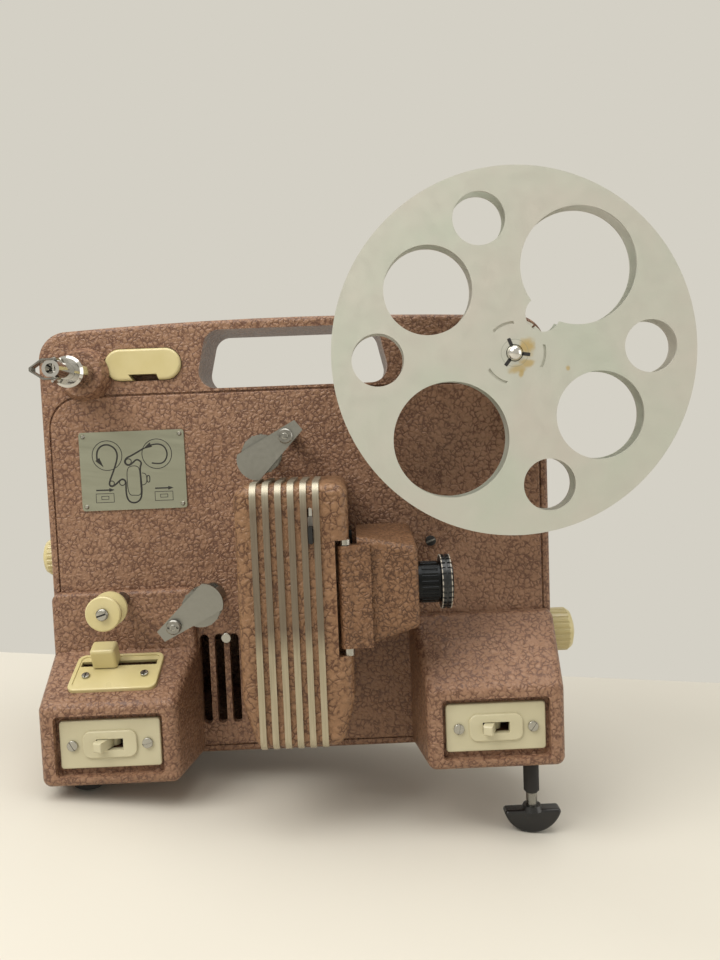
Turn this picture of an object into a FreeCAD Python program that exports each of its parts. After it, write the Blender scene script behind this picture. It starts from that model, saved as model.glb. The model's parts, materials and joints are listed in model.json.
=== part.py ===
import FreeCAD, Part
import math
import os

# Movie projector for narrow film: a cast upright housing with a carrying handle,
# two reel spindles, a ribbed lamp house, a hinged lens door and two control blocks.
#
# The machine is modelled on its own datum, in millimetres: X to the right along the
# panel from its left edge, Y into the housing from the raised panel's face, Z up from
# the panel's lower edge.  stand_up() then leans it on its three feet, because the screw
# foot under the lens end is wound out, and puts the origin on the table.

# Housing casting
WIDTH = 262.0
HEIGHT = 228.3
CROWN = 3.5
CORNER_R = 15.0
FOOT_CORNER_R = 5.0
CASTING_D = 40.0
WALL = 3.0
PANEL_STEP = 1.5
PANEL_INSET = 5.0
PANEL_DROP = 37.8
PANEL_CORNER_R = 16.0
GROOVE_W = 1.2
GROOVE_DEPTH = 0.8
EDGE_R = 2.5
RUN = 0.05
GAP = 0.3

# Handle opening
HANDLE_DROP = 35.3
HANDLE_BAR = 5.3
HANDLE_LEFT = 80.0
HANDLE_SLOPE = 7.0
HANDLE_CORNER_R = 8.5

# Rear cover
COVER_PLATE = 3.0
COVER_INSET = 7.0
COVER_DROP = 45.3
COVER_SCREW_DROP = 40.6
COVER_SCREW_INSET = 6.4
COVER_BULGE = 35.0
COVER_DRAFT = 4.0
COVER_WALL = 2.5
COVER_CORNER_R = 10.0
SCREW_R = 1.4
SCREW_L = 10.0
SCREW_POST_R = 3.6

# Control blocks at the foot of the panel
BLOCK_W = 76.0
BLOCK_D = 41.0
BLOCK_SIDE_DRAFT = 5.0
BLOCK_FLOOR_RISE = 3.0
BLOCK_FACE_TOP = 43.0
LEFT_BLOCK_TOP = 61.3
RIGHT_BLOCK_TOP = 71.0
RIGHT_BLOCK_LEDGE = 4.5
BLOCK_EDGE_R = 4.5
STEP_TOP = 90.0
STEP_RISE = 4.5
RECESS_W = 52.0
RECESS_H = 30.0
RECESS_DEPTH = 5.0
RECESS_R = 2.5

# Film plane, reels and spindles
FILM_Y = -31.4
SPINDLE_INSET = 24.0
SPINDLE_DROP = 26.1
SPINDLE_R = 4.0
BOSS_BASE_R = 15.0
BOSS_TOP_R = 11.0
BOSS_FRONT = -7.0
COLLAR_R = 7.7
REEL_R = 86.5
REEL_GAP = 8.5
FLANGE_T = 1.0
REEL_CORE_R = 16.0
KEY_REACH = 6.8
KEY_T = 1.1
KEY_TURN = 8.0
KEY_SLOT_REACH = 7.4
KEY_SLOT_W = 1.6
STAKE_RING_R = 14.3
STAKE_W = 1.2
STAKE_L = 10.5
STAKE_TURN = -22.0
BIG_HOLE_R = 27.5
MID_HOLE_R = 20.9
SMALL_HOLE_R = 12.4
INNER_RING_R = 50.4
OUTER_RING_R = 64.6
NOTCH_R = 8.4
NOTCH_RING_R = 22.5
BIG_HOLE_ANGLE = 52.0
MID_HOLE_ANGLE = 142.6
SMALL_HOLE_ANGLES = (0.9, 103.6)

# Sprockets and their keepers
UPPER_SPROCKET_X = 116.6
UPPER_SPROCKET_Z = 159.2
LOWER_SPROCKET_X = 84.4
LOWER_SPROCKET_Z = 86.6
SPROCKET_R = 8.4
SPROCKET_FLANGE_R = 9.2
SPROCKET_W = 10.4
SPROCKET_TEETH = 14
TOOTH_H = 1.2
SPROCKET_SHAFT_R = 2.5
KEEPER_T = 1.6
KEEPER_FRONT = -41.6
KEEPER_HEEL = 8.0
KEEPER_HEEL_W = 6.0
KEEPER_REACH = 22.8
KEEPER_WIDE = 15.8
KEEPER_BULGE = 4.0
KEEPER_NUT_R = 3.5
UPPER_KEEPER_X = 128.8
UPPER_KEEPER_Z = 167.4
UPPER_KEEPER_TURN = 218.2
LOWER_KEEPER_X = 72.4
LOWER_KEEPER_Z = 79.6
LOWER_KEEPER_TURN = 36.0
POST_R = 2.4

# Cream guide roller
ROLLER_X = 38.0
ROLLER_Z = 86.0
ROLLER_R = 8.5
ROLLER_CORE_R = 5.4
ROLLER_W = 13.5

# Lamp house
LAMP_COVER_LEFT = 105.0
LAMP_COVER_RIGHT = 156.5
LAMP_COVER_TOP = 145.5
LAMP_COVER_BOTTOM = 24.0
LAMP_COVER_FRONT = -58.0
LAMP_COVER_TAPER_Z = 46.0
LAMP_COVER_TAPER = 6.0
LAMP_COVER_EDGE_R = 6.0
LAMP_COVER_WALL = 2.5
RIB_COUNT = 6
RIB_FIRST_X = 114.1
RIB_PITCH = 5.65
RIB_W = 2.9
RIB_PROUD = 1.2
RIB_BACK = -20.0
LATCH_X = 139.5
LATCH_BOTTOM = 118.5
LATCH_TOP = 135.0
LATCH_SLOT_W = 2.4

# Optical axis, gate and lens door
AXIS_Z = 94.0
HINGE_X = 154.6
HINGE_Y = -53.4
KNUCKLE_R = 3.7
KNUCKLE_BOTTOM = 69.5
KNUCKLE_TOP = 116.8
NICHE_BOTTOM = 66.0
NICHE_TOP = 119.6
PIN_R = 1.3
GATE_T = 1.5
FILM_CHANNEL = 0.4
DOOR_LEFT = 160.0
DOOR_RIGHT = 188.0
DOOR_FRONT = -53.0
DOOR_BACK = -9.0
DOOR_EDGE_R = 3.0
BARREL_R = 10.0
RING_R = 13.1
RING_W = 4.8
RING_LEFT = 199.8
RING_FLUTES = 28

# Lamp and condenser
LAMP_X = 126.0
BULB_R = 12.0
BULB_TOP = 118.0
BULB_BOTTOM = 68.0

# Controls
PLATE_W = 48.6
PLATE_H = 23.6
PLATE_T = 2.2
TOGGLE_SLOT_W = 13.0
TOGGLE_SLOT_H = 5.6
TOGGLE_T = 4.8
TOGGLE_LEAN = 22.0
SPEED_PLATE_X = 38.0
SPEED_PLATE_W = 43.5
SPEED_PLATE_L = 26.0
SPEED_PLATE_T = 2.0
SPEED_FIELD_T = 1.5
SPEED_KNOB_X = 31.8
SPEED_SLOT_W = 38.0
SPEED_SLOT_H = 3.6
SWITCH_SCREW_X = 18.0
SPEED_SCREW_X = 14.5
CONTROL_SCREW_R = 1.3
SPEED_SCREW_R = 1.0
CONTROL_SCREW_L = 4.6
OVAL_W = 39.8
OVAL_H = 16.8
OVAL_X = 54.0
OVAL_DROP = 21.8
OVAL_PROUD = 2.0
OVAL_TRAVEL = 2.0
OVAL_POCKET = 8.0

# Label plate and vents
LABEL_LEFT = 19.3
LABEL_BOTTOM = 132.0
LABEL_W = 54.0
LABEL_H = 40.6
LABEL_T = 0.8
VENT_COUNT = 4
VENT_FIRST_X = 78.2
VENT_PITCH = 7.8
VENT_W = 4.9
VENT_BOTTOM = 16.5
VENT_TOP = 64.5

# Side knobs and drive
KNOB_Y = 27.0
INCHING_Z = 105.0
FRAMING_Z = 52.5
INCHING_PROUD = 12.0
FRAMING_PROUD = 18.0
SIDE_KNOB_R = 11.9
INCHING_R = 10.4
SIDE_KNOB_FLUTES = 24
MOTOR_R = 20.5
MOTOR_LEFT = 20.0
MOTOR_LENGTH = 46.0
MOTOR_SHAFT_R = 3.0
MAIN_Y = 14.0
MAIN_SHAFT_R = 2.5
SHUTTER_X = 150.0
SHUTTER_T = 0.8
SHUTTER_R = 50.0
PULLEY_X = 103.0
MOTOR_PULLEY_R = 4.5
MAIN_PULLEY_R = 7.5
BELT_R = 1.0
WORM_R = 2.8
CHAIN_FRONT = 5.6
CHAIN_W = 4.0
CHAIN_WHEEL_R = 7.0
CLAW_STROKE = 3.8

# Feet
FOOT_X = 22.0
FRONT_FOOT_Y = -22.0
REAR_FOOT_Y = 62.0
RUBBER_R = 8.0
RUBBER_DOME = 3.0
RUBBER_DROP = 5.6
SCREW_FOOT_INSET = 18.0
GRIP_R = 15.0
GRIP_FLAT = 3.0
GRIP_T = 8.0
GRIP_DROP = 37.8
SLEEVE_R = 3.9
SLEEVE_BOTTOM = -17.5
SLEEVE_TOP = 22.0
FOOT_ROD_R = 2.8

# Names of repeated directions
RIGHT = FreeCAD.Vector(1, 0, 0)
BACK = FreeCAD.Vector(0, 1, 0)
FRONT = FreeCAD.Vector(0, -1, 0)
UP = FreeCAD.Vector(0, 0, 1)
DOWN = FreeCAD.Vector(0, 0, -1)
MID_X = WIDTH / 2.0
COVER_BACK = CASTING_D + COVER_PLATE + COVER_BULGE
PANEL_TOP = HEIGHT - PANEL_DROP
HANDLE_BOTTOM = HEIGHT - HANDLE_DROP
COVER_TOP = HEIGHT - COVER_DROP
OVAL_Z = HEIGHT - OVAL_DROP
SPINDLE_Z = HEIGHT - SPINDLE_DROP
SCREW_FOOT_X = WIDTH - SCREW_FOOT_INSET
COLLAR_FRONT = FILM_Y + REEL_GAP / 2 + FLANGE_T + GAP
REEL_BACK = COLLAR_FRONT - GAP
REEL_FRONT = REEL_BACK - 2 * FLANGE_T - REEL_GAP
FEED_X = WIDTH - SPINDLE_INSET
SLOPE = math.atan2(LEFT_BLOCK_TOP - BLOCK_FACE_TOP, BLOCK_D)


def at(x, y, z):
    return FreeCAD.Vector(x, y, z)


def rod(start, direction, radius, length):
    return Part.makeCylinder(radius, length, start, direction)


def tube(start, direction, outer, inner, length):
    return rod(start, direction, outer, length).cut(rod(start, direction, inner, length))


def block(x0, x1, y0, y1, z0, z1):
    return Part.makeBox(x1 - x0, y1 - y0, z1 - z0, at(x0, y0, z0))


def rounded_wire(corners, radii):
    # A closed outline through flat corners, each rounded by its own radius.
    count = len(corners)
    starts = []
    ends = []
    middles = []
    for i in range(count):
        corner = corners[i]
        before = (corners[i - 1] - corner).normalize()
        after = (corners[(i + 1) % count] - corner).normalize()
        half = before.getAngle(after) / 2.0
        reach = radii[i] / math.tan(half)
        inward = (before + after).normalize()
        centre = corner + inward * (radii[i] / math.sin(half))
        starts.append(corner + before * reach)
        ends.append(corner + after * reach)
        middles.append(centre - inward * radii[i])
    edges = []
    for i in range(count):
        edges.append(Part.Arc(starts[i], middles[i], ends[i]).toShape())
        edges.append(Part.LineSegment(ends[i], starts[(i + 1) % count]).toShape())
    return Part.Wire(edges)


def rounded_slab(x0, x1, z0, z1, radius, y0, y1):
    corners = [at(x0, y0, z0), at(x1, y0, z0), at(x1, y0, z1), at(x0, y0, z1)]
    wire = rounded_wire(corners, [radius] * 4)
    return Part.Face(wire).extrude(at(0, y1 - y0, 0))


def flat_slab(points, direction):
    return Part.Face(Part.makePolygon(points + [points[0]])).extrude(direction)


def spun(points, base, direction):
    # A solid turned from (radius, distance along the axis) pairs.
    across = at(0, 0, 1) if abs(direction.z) < 0.5 else at(1, 0, 0)
    path = [base + across * r + direction * h for r, h in points]
    face = Part.Face(Part.makePolygon(path + [path[0]]))
    return face.revolve(base, direction, 360)


def round_edges(shape, radius, wanted):
    return shape.makeFillet(radius, [edge for edge in shape.Edges if wanted(edge)])


def in_plane_y(edge, y):
    box = edge.BoundBox
    return abs(box.YMin - y) < 0.01 and abs(box.YMax - y) < 0.01


def housing_outline(inset, y):
    # The upright's outline: straight sides, round shoulders and a crowned top.
    left = inset
    right = WIDTH - inset
    base = inset
    corner = CORNER_R - inset
    foot = FOOT_CORNER_R
    shoulder = HEIGHT - CROWN - inset
    bend = math.sqrt(0.5)
    edges = [
        Part.LineSegment(at(left + foot, y, base), at(right - foot, y, base)).toShape(),
        Part.Arc(at(right - foot, y, base),
                 at(right - foot + foot * bend, y, base + foot - foot * bend),
                 at(right, y, base + foot)).toShape(),
        Part.LineSegment(at(right, y, base + foot), at(right, y, shoulder - corner)).toShape(),
        Part.Arc(at(right, y, shoulder - corner),
                 at(right - corner + corner * bend, y, shoulder - corner + corner * bend),
                 at(right - corner, y, shoulder)).toShape(),
        Part.Arc(at(right - corner, y, shoulder), at(MID_X, y, HEIGHT - inset),
                 at(left + corner, y, shoulder)).toShape(),
        Part.Arc(at(left + corner, y, shoulder),
                 at(left + corner - corner * bend, y, shoulder - corner + corner * bend),
                 at(left, y, shoulder - corner)).toShape(),
        Part.LineSegment(at(left, y, shoulder - corner), at(left, y, base + foot)).toShape(),
        Part.Arc(at(left, y, base + foot),
                 at(left + foot - foot * bend, y, base + foot - foot * bend),
                 at(left + foot, y, base)).toShape(),
    ]
    return Part.Wire(edges)


def handle_hole(y0, y1, grow=0.0):
    # The hand opening, wider at its floor than under the bar.
    left = HANDLE_LEFT - grow
    right = WIDTH - left
    low = HANDLE_BOTTOM - grow
    high = HEIGHT - HANDLE_BAR + grow
    corners = [at(left, y0, low), at(right, y0, low),
               at(right - HANDLE_SLOPE, y0, high), at(left + HANDLE_SLOPE, y0, high)]
    return Part.Face(rounded_wire(corners, [HANDLE_CORNER_R] * 4)).extrude(at(0, y1 - y0, 0))


def block_ledge(top):
    return RIGHT_BLOCK_LEDGE if top == RIGHT_BLOCK_TOP else 0.0


def control_block(x0, x1, top, shrink):
    # A drafted block: the side profile cut by the plan, both shrunk alike for the inside.
    ledge = block_ledge(top)
    face_y = -BLOCK_D + shrink
    low = BLOCK_FLOOR_RISE + shrink
    slope = math.atan2(top - BLOCK_FACE_TOP, BLOCK_D - ledge)
    drop = shrink / math.cos(slope)
    face_top = BLOCK_FACE_TOP + shrink * math.tan(slope) - drop
    profile = [at(x0, PANEL_STEP, shrink), at(x0, face_y, low), at(x0, face_y, face_top),
               at(x0, -ledge, top - drop), at(x0, PANEL_STEP, top - drop)]
    side = flat_slab(profile, at(x1 - x0, 0, 0))
    plan = [at(x0 + shrink, PANEL_STEP, -1), at(x1 - shrink, PANEL_STEP, -1),
            at(x1 - shrink - BLOCK_SIDE_DRAFT, face_y, -1),
            at(x0 + shrink + BLOCK_SIDE_DRAFT, face_y, -1)]
    return side.common(flat_slab(plan, at(0, 0, top + 2)))


def soft_block(x0, x1, top):
    solid = control_block(x0, x1, top, 0)
    return round_edges(solid, BLOCK_EDGE_R, lambda e: e.BoundBox.YMin < -1.0)


def block_recess(x_mid):
    z_mid = block_mid_z()
    return rounded_slab(x_mid - RECESS_W / 2, x_mid + RECESS_W / 2,
                        z_mid - RECESS_H / 2, z_mid + RECESS_H / 2, RECESS_R,
                        -BLOCK_D - 1, -BLOCK_D + RECESS_DEPTH)


def block_mid_z():
    return (BLOCK_FLOOR_RISE + BLOCK_FACE_TOP) / 2.0


def left_block_mid():
    return BLOCK_W / 2.0


def right_block_mid():
    return WIDTH - BLOCK_W / 2.0


def switch_window(x_mid):
    # The opening behind each switch plate that its body passes through.
    z_mid = block_mid_z()
    return block(x_mid - 16, x_mid + 16, -BLOCK_D + RECESS_DEPTH - 1,
                 -BLOCK_D + RECESS_DEPTH + WALL + 1, z_mid - 8, z_mid + 8)


def spindle_boss(x):
    return Part.makeCone(BOSS_BASE_R, BOSS_TOP_R, PANEL_STEP - BOSS_FRONT + WALL,
                         at(x, PANEL_STEP + WALL, SPINDLE_Z), FRONT)


def oval_prism(x_mid, y0, y1, shrink):
    return rounded_slab(x_mid - OVAL_W / 2 + shrink, x_mid + OVAL_W / 2 - shrink,
                        OVAL_Z - OVAL_H / 2 + shrink, OVAL_Z + OVAL_H / 2 - shrink,
                        OVAL_H / 2 - shrink - 0.01, y0, y1)


def slope_tool(shape):
    # Lays a piece modelled flat, from the block's front edge backwards, on the sloping top.
    placed = shape.copy()
    placed.rotate(at(0, 0, 0), RIGHT, math.degrees(SLOPE))
    placed.translate(at(0, -BLOCK_D, BLOCK_FACE_TOP))
    return placed


SPEED_PLATE_MID = 22.0
SPEED_SLOT_MID = SPEED_PLATE_MID + 6.0


def speed_slot(width, height, z0, z1):
    mid = SPEED_SLOT_MID
    return slope_tool(block(SPEED_PLATE_X - width / 2, SPEED_PLATE_X + width / 2,
                            mid - height / 2, mid + height / 2, z0, z1))


def panel_slab(grow, y0, y1):
    # The raised panel's prism, or with grow the groove's outer edge round it.
    low = PANEL_INSET - grow
    right = WIDTH - low
    high = PANEL_TOP + grow
    corners = [at(low, y0, low), at(right, y0, low), at(right, y0, high), at(low, y0, high)]
    top_r = PANEL_CORNER_R + grow
    wire = rounded_wire(corners, [3.0 + grow, 3.0 + grow, top_r, top_r])
    return Part.Face(wire).extrude(at(0, y1 - y0, 0))


def front_housing():
    body = Part.Face(housing_outline(0, PANEL_STEP)).extrude(at(0, CASTING_D - PANEL_STEP, 0))
    body = round_edges(body, EDGE_R, lambda e: in_plane_y(e, PANEL_STEP))
    body = body.cut(panel_slab(GROOVE_W, PANEL_STEP - 1, PANEL_STEP + GROOVE_DEPTH))
    panel = panel_slab(0, 0, PANEL_STEP + GROOVE_DEPTH + 0.5)
    panel = round_edges(panel, PANEL_STEP / 2, lambda e: in_plane_y(e, 0))
    body = body.fuse(panel)
    body = body.fuse(soft_block(0, BLOCK_W, LEFT_BLOCK_TOP))
    body = body.fuse(soft_block(WIDTH - BLOCK_W, WIDTH, RIGHT_BLOCK_TOP))
    step = rounded_slab(1.0, BLOCK_W - 1.0, LEFT_BLOCK_TOP - 10, STEP_TOP, STEP_RISE,
                        -STEP_RISE, PANEL_STEP + 1)
    step = round_edges(step, STEP_RISE / 2, lambda e: in_plane_y(e, -STEP_RISE))
    body = body.fuse(step)
    for x in (SPINDLE_INSET, FEED_X):
        body = body.fuse(spindle_boss(x))
    inside = Part.Face(housing_outline(WALL, PANEL_STEP + WALL)).extrude(at(0, CASTING_D, 0))
    handle_core = block(HANDLE_LEFT - WALL, WIDTH - HANDLE_LEFT + WALL, 0, CASTING_D + WALL,
                        HANDLE_BOTTOM - WALL, HEIGHT)
    inside = inside.cut(handle_core)
    for x in (SPINDLE_INSET, FEED_X):
        inside = inside.cut(rod(at(x, 0, SPINDLE_Z), BACK, BOSS_TOP_R, PANEL_STEP + WALL + 4))
    for x in (OVAL_X, WIDTH - OVAL_X):
        inside = inside.cut(oval_prism(x, 0, PANEL_STEP + OVAL_POCKET + WALL, -WALL))
    body = body.cut(inside)
    body = body.cut(control_block(0, BLOCK_W, LEFT_BLOCK_TOP, WALL))
    body = body.cut(control_block(WIDTH - BLOCK_W, WIDTH, RIGHT_BLOCK_TOP, WALL))
    body = body.cut(block(WALL + 1, BLOCK_W - WALL - 1, PANEL_STEP - 1, PANEL_STEP + WALL + 1,
                          WALL, LEFT_BLOCK_TOP - WALL))
    body = body.cut(block(WIDTH - BLOCK_W + WALL + 1, WIDTH - WALL - 1, PANEL_STEP - 1,
                          PANEL_STEP + WALL + 1, WALL, RIGHT_BLOCK_TOP - WALL))
    body = body.cut(handle_hole(-1, CASTING_D + 1))
    for x_mid in (left_block_mid(), right_block_mid()):
        body = body.fuse(recess_box(x_mid))
        body = body.cut(block_recess(x_mid))
        body = body.cut(switch_window(x_mid))
    for x in (OVAL_X, WIDTH - OVAL_X):
        body = body.cut(oval_prism(x, -1, PANEL_STEP + OVAL_POCKET, 0))
    body = body.cut(speed_slot(SPEED_SLOT_W, SPEED_SLOT_H + 2, -2 * WALL, 1))
    for i in range(VENT_COUNT):
        x = VENT_FIRST_X + i * VENT_PITCH
        body = body.cut(rounded_slab(x - VENT_W / 2, x + VENT_W / 2, VENT_BOTTOM, VENT_TOP,
                                     VENT_W / 2 - 0.01, -1, PANEL_STEP + WALL + 1))
    body = body.cut(shutter_window())
    for x in (SPINDLE_INSET, FEED_X):
        body = body.cut(rod(at(x, BOSS_FRONT - 1, SPINDLE_Z), BACK, SPINDLE_R + 2.0, 30))
    for x, z in sprocket_centres():
        body = body.cut(rod(at(x, -1, z), BACK, SPROCKET_SHAFT_R + 2.0, 10))
    for x, z in cover_screw_places():
        post = rod(at(x, PANEL_STEP + WALL - 1, z), BACK, SCREW_POST_R,
                   CASTING_D - PANEL_STEP - WALL + 1)
        post = post.common(Part.Face(housing_outline(0.5, 0)).extrude(at(0, CASTING_D, 0)))
        body = body.fuse(post)
        body = body.cut(rod(at(x, CASTING_D + 1, z), FRONT, SCREW_R, SCREW_L))
    for place in panel_screw_places():
        body = body.cut(rod(place + FRONT, BACK, 1.0, 4.0))
    for place in switch_screw_places():
        body = body.cut(rod(place, BACK, CONTROL_SCREW_R, CONTROL_SCREW_L))
    for place in speed_screw_places():
        body = body.cut(slope_tool(rod(place, DOWN, SPEED_SCREW_R, CONTROL_SCREW_L)))
    body = body.cut(rod(at(-1, KNOB_Y, INCHING_Z), RIGHT, MOTOR_SHAFT_R + RUN, WALL + 2))
    body = body.cut(rod(at(WIDTH + 1, KNOB_Y, FRAMING_Z), -RIGHT, MOTOR_SHAFT_R + RUN, WALL + 2))
    body = body.cut(rod(at(SCREW_FOOT_X, FRONT_FOOT_Y, -1), UP, SLEEVE_R, 30))
    return body


def recess_box(x_mid):
    # The pocket's own walls and floor, so that the recess never breaks into the block.
    z_mid = block_mid_z()
    return block(x_mid - RECESS_W / 2 - 2, x_mid + RECESS_W / 2 + 2, -BLOCK_D + WALL - 1,
                 -BLOCK_D + RECESS_DEPTH + WALL, z_mid - RECESS_H / 2 - 2,
                 z_mid + RECESS_H / 2 + 2)


def shutter_window():
    # The slot in the panel, under the lamp cover, that the shutter turns through.
    half = math.sqrt(SHUTTER_R ** 2 - MAIN_Y ** 2) + 2.0
    return block(SHUTTER_X - 1.5, SHUTTER_X + SHUTTER_T + 4.0, -1, PANEL_STEP + WALL + 1,
                 AXIS_Z - half, AXIS_Z + half)


def sprocket_centres():
    return ((UPPER_SPROCKET_X, UPPER_SPROCKET_Z), (LOWER_SPROCKET_X, LOWER_SPROCKET_Z))


def cover_rect(inset, y):
    corners = [at(COVER_INSET + inset, y, COVER_INSET + inset),
               at(WIDTH - COVER_INSET - inset, y, COVER_INSET + inset),
               at(WIDTH - COVER_INSET - inset, y, COVER_TOP - inset),
               at(COVER_INSET + inset, y, COVER_TOP - inset)]
    return rounded_wire(corners, [COVER_CORNER_R - inset / 2] * 4)


def cover_screw_places():
    high = HEIGHT - COVER_SCREW_DROP
    side = COVER_SCREW_INSET
    return ((side, high), (WIDTH - side, high), (MID_X, high),
            (3.6, 90.0), (WIDTH - 3.6, 90.0), (MID_X, 3.4))


def rear_cover():
    plate = Part.Face(housing_outline(0, CASTING_D)).extrude(at(0, COVER_PLATE, 0))
    plate = round_edges(plate, 1.2, lambda e: in_plane_y(e, CASTING_D + COVER_PLATE))
    front = CASTING_D + COVER_PLATE - 0.5
    hump = Part.makeLoft([cover_rect(0, front), cover_rect(COVER_DRAFT, COVER_BACK)], True)
    hump = round_edges(hump, 3.0, lambda e: in_plane_y(e, COVER_BACK))
    body = plate.fuse(hump)
    hollow = Part.makeLoft([cover_rect(COVER_WALL, CASTING_D - 1),
                            cover_rect(COVER_DRAFT + COVER_WALL, COVER_BACK - COVER_WALL)], True)
    body = body.cut(hollow)
    body = body.cut(handle_hole(CASTING_D - 1, CASTING_D + COVER_PLATE + 1))
    for row in range(2):
        for i in range(8):
            x = 46.0 + i * 8.0
            z = 76.0 + row * 46.0
            body = body.cut(rounded_slab(x - 2, x + 2, z, z + 38, 1.99,
                                         COVER_BACK - COVER_WALL - 1, COVER_BACK + 1))
    body = body.cut(inlet_hole())
    boss = rod(at(FOOT_X, REAR_FOOT_Y, 0), UP, RUBBER_R + 1.0, COVER_INSET + 4)
    body = body.fuse(boss)
    for x, z in cover_screw_places():
        body = body.cut(rod(at(x, CASTING_D - 1, z), BACK, SCREW_R, COVER_PLATE + 2))
    return body


INLET_X = 206.0
INLET_Z = 40.0
INLET_W = 32.0
INLET_H = 20.0


def inlet_hole():
    return rounded_slab(INLET_X - INLET_W / 2, INLET_X + INLET_W / 2, INLET_Z - INLET_H / 2,
                        INLET_Z + INLET_H / 2, 3.0, COVER_BACK - COVER_WALL - 1, COVER_BACK + 1)


def mains_inlet():
    # A flush inlet with two round pins in a shrouded pocket.
    depth = 18.0
    shell = rounded_slab(INLET_X - INLET_W / 2, INLET_X + INLET_W / 2, INLET_Z - INLET_H / 2,
                         INLET_Z + INLET_H / 2, 3.0, COVER_BACK - depth, COVER_BACK)
    pocket = rounded_slab(INLET_X - INLET_W / 2 + 2, INLET_X + INLET_W / 2 - 2,
                          INLET_Z - INLET_H / 2 + 2, INLET_Z + INLET_H / 2 - 2, 2.0,
                          COVER_BACK - depth + 3, COVER_BACK + 1)
    shell = shell.cut(pocket)
    for side in (-1, 1):
        shell = shell.fuse(rod(at(INLET_X + side * 6.5, COVER_BACK - depth + 1, INLET_Z),
                               BACK, 2.0, depth - 4))
    return shell


def slotted_screw(place, direction, head_r, head_h, shank_r, shank_l):
    head = rod(place, direction, head_r, head_h)
    head = round_edges(head, head_h * 0.4, lambda e: top_edge(e, place, direction, head_h))
    shank = rod(place - direction * shank_l, direction, shank_r, shank_l)
    return head.fuse(shank)


def top_edge(edge, place, direction, height):
    if len(edge.Vertexes) != 1:
        return False
    return abs((edge.Vertexes[0].Point - place).dot(direction) - height) < 0.01


def cover_screws():
    screws = []
    for x, z in cover_screw_places():
        place = at(x, CASTING_D + COVER_PLATE, z)
        screws.append(slotted_screw(place, BACK, 2.9, 1.6, SCREW_R, SCREW_L))
    return Part.makeCompound(screws)


def reel_flange(y0):
    disc = rod(at(FEED_X, y0, SPINDLE_Z), BACK, REEL_R, FLANGE_T)
    spots = []
    for turn in (0.0, 180.0):
        spots.append((INNER_RING_R, BIG_HOLE_ANGLE + turn, BIG_HOLE_R))
        spots.append((INNER_RING_R, MID_HOLE_ANGLE + turn, MID_HOLE_R))
        for angle in SMALL_HOLE_ANGLES:
            spots.append((OUTER_RING_R, angle + turn, SMALL_HOLE_R))
    spots.append((NOTCH_RING_R, BIG_HOLE_ANGLE, NOTCH_R))
    for ring, angle, radius in spots:
        spot = on_reel(ring, angle, y0 - 1)
        disc = disc.cut(rod(spot, BACK, radius, FLANGE_T + 2))
    disc = disc.cut(hub_hole(y0 - 1, FLANGE_T + 2))
    for i in range(3):
        slot = stake_slot(y0 - 1, FLANGE_T + 2)
        slot.rotate(at(FEED_X, 0, SPINDLE_Z), BACK, STAKE_TURN + 120 * i)
        disc = disc.cut(slot)
    return disc


def stake_slot(y0, length):
    # One curved slot over the hub, where the core's rim is staked to the flange.
    half = STAKE_W / 2
    ring = tube(at(FEED_X, y0, SPINDLE_Z), BACK, STAKE_RING_R + half, STAKE_RING_R - half, length)
    return ring.common(block(FEED_X - STAKE_L / 2, FEED_X + STAKE_L / 2, y0 - 1, y0 + length + 1,
                             SPINDLE_Z, SPINDLE_Z + 2 * STAKE_RING_R))


def on_reel(ring, angle, y):
    rad = math.radians(angle)
    return at(FEED_X + ring * math.cos(rad), y, SPINDLE_Z + ring * math.sin(rad))


def hub_hole(y0, length):
    # The reel's square-cut star bore: a round hole and three key slots.
    hole = rod(at(FEED_X, y0, SPINDLE_Z), BACK, SPINDLE_R + RUN, length)
    for i in range(3):
        hole = hole.fuse(hub_key(FEED_X, i, KEY_SLOT_REACH, KEY_SLOT_W, y0, length))
    return hole


def hub_key(x, index, reach, thickness, y0, length):
    key = block(x, x + reach, y0, y0 + length, SPINDLE_Z - thickness / 2,
                SPINDLE_Z + thickness / 2)
    key.rotate(at(x, 0, SPINDLE_Z), BACK, KEY_TURN - 120 * index)
    return key


def reel_core():
    y0 = REEL_FRONT + FLANGE_T
    core = rod(at(FEED_X, y0, SPINDLE_Z), BACK, REEL_CORE_R, REEL_GAP)
    core = core.cut(hub_hole(y0 - 1, REEL_GAP + 2))
    slot = block(FEED_X + 9, FEED_X + REEL_CORE_R + 1, y0 - 1, y0 + REEL_GAP + 1,
                 SPINDLE_Z - 0.6, SPINDLE_Z + 0.6)
    slot.rotate(at(FEED_X, 0, SPINDLE_Z), BACK, -BIG_HOLE_ANGLE)
    return core.cut(slot)


SPINDLE_REAR = 30.0
PULLEY_W = 5.0
TAKEUP_PULLEY_R = 10.0


def spindle_pulley(x):
    centre = at(x, SPINDLE_REAR - PULLEY_W, SPINDLE_Z)
    wide = TAKEUP_PULLEY_R
    neck = TAKEUP_PULLEY_R - BELT_R
    return spun([(SPINDLE_R - 0.5, 0), (wide, 0), (neck, PULLEY_W / 2), (wide, PULLEY_W),
                 (SPINDLE_R - 0.5, PULLEY_W)], centre, BACK)


def keyed_shaft(x, tip_y):
    shaft = rod(at(x, SPINDLE_REAR, SPINDLE_Z), FRONT, SPINDLE_R, SPINDLE_REAR - tip_y)
    for i in range(3):
        shaft = shaft.fuse(hub_key(x, i, KEY_REACH, KEY_T, REEL_FRONT + 2.0,
                                   COLLAR_FRONT - REEL_FRONT - 3.5))
    return shaft


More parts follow.
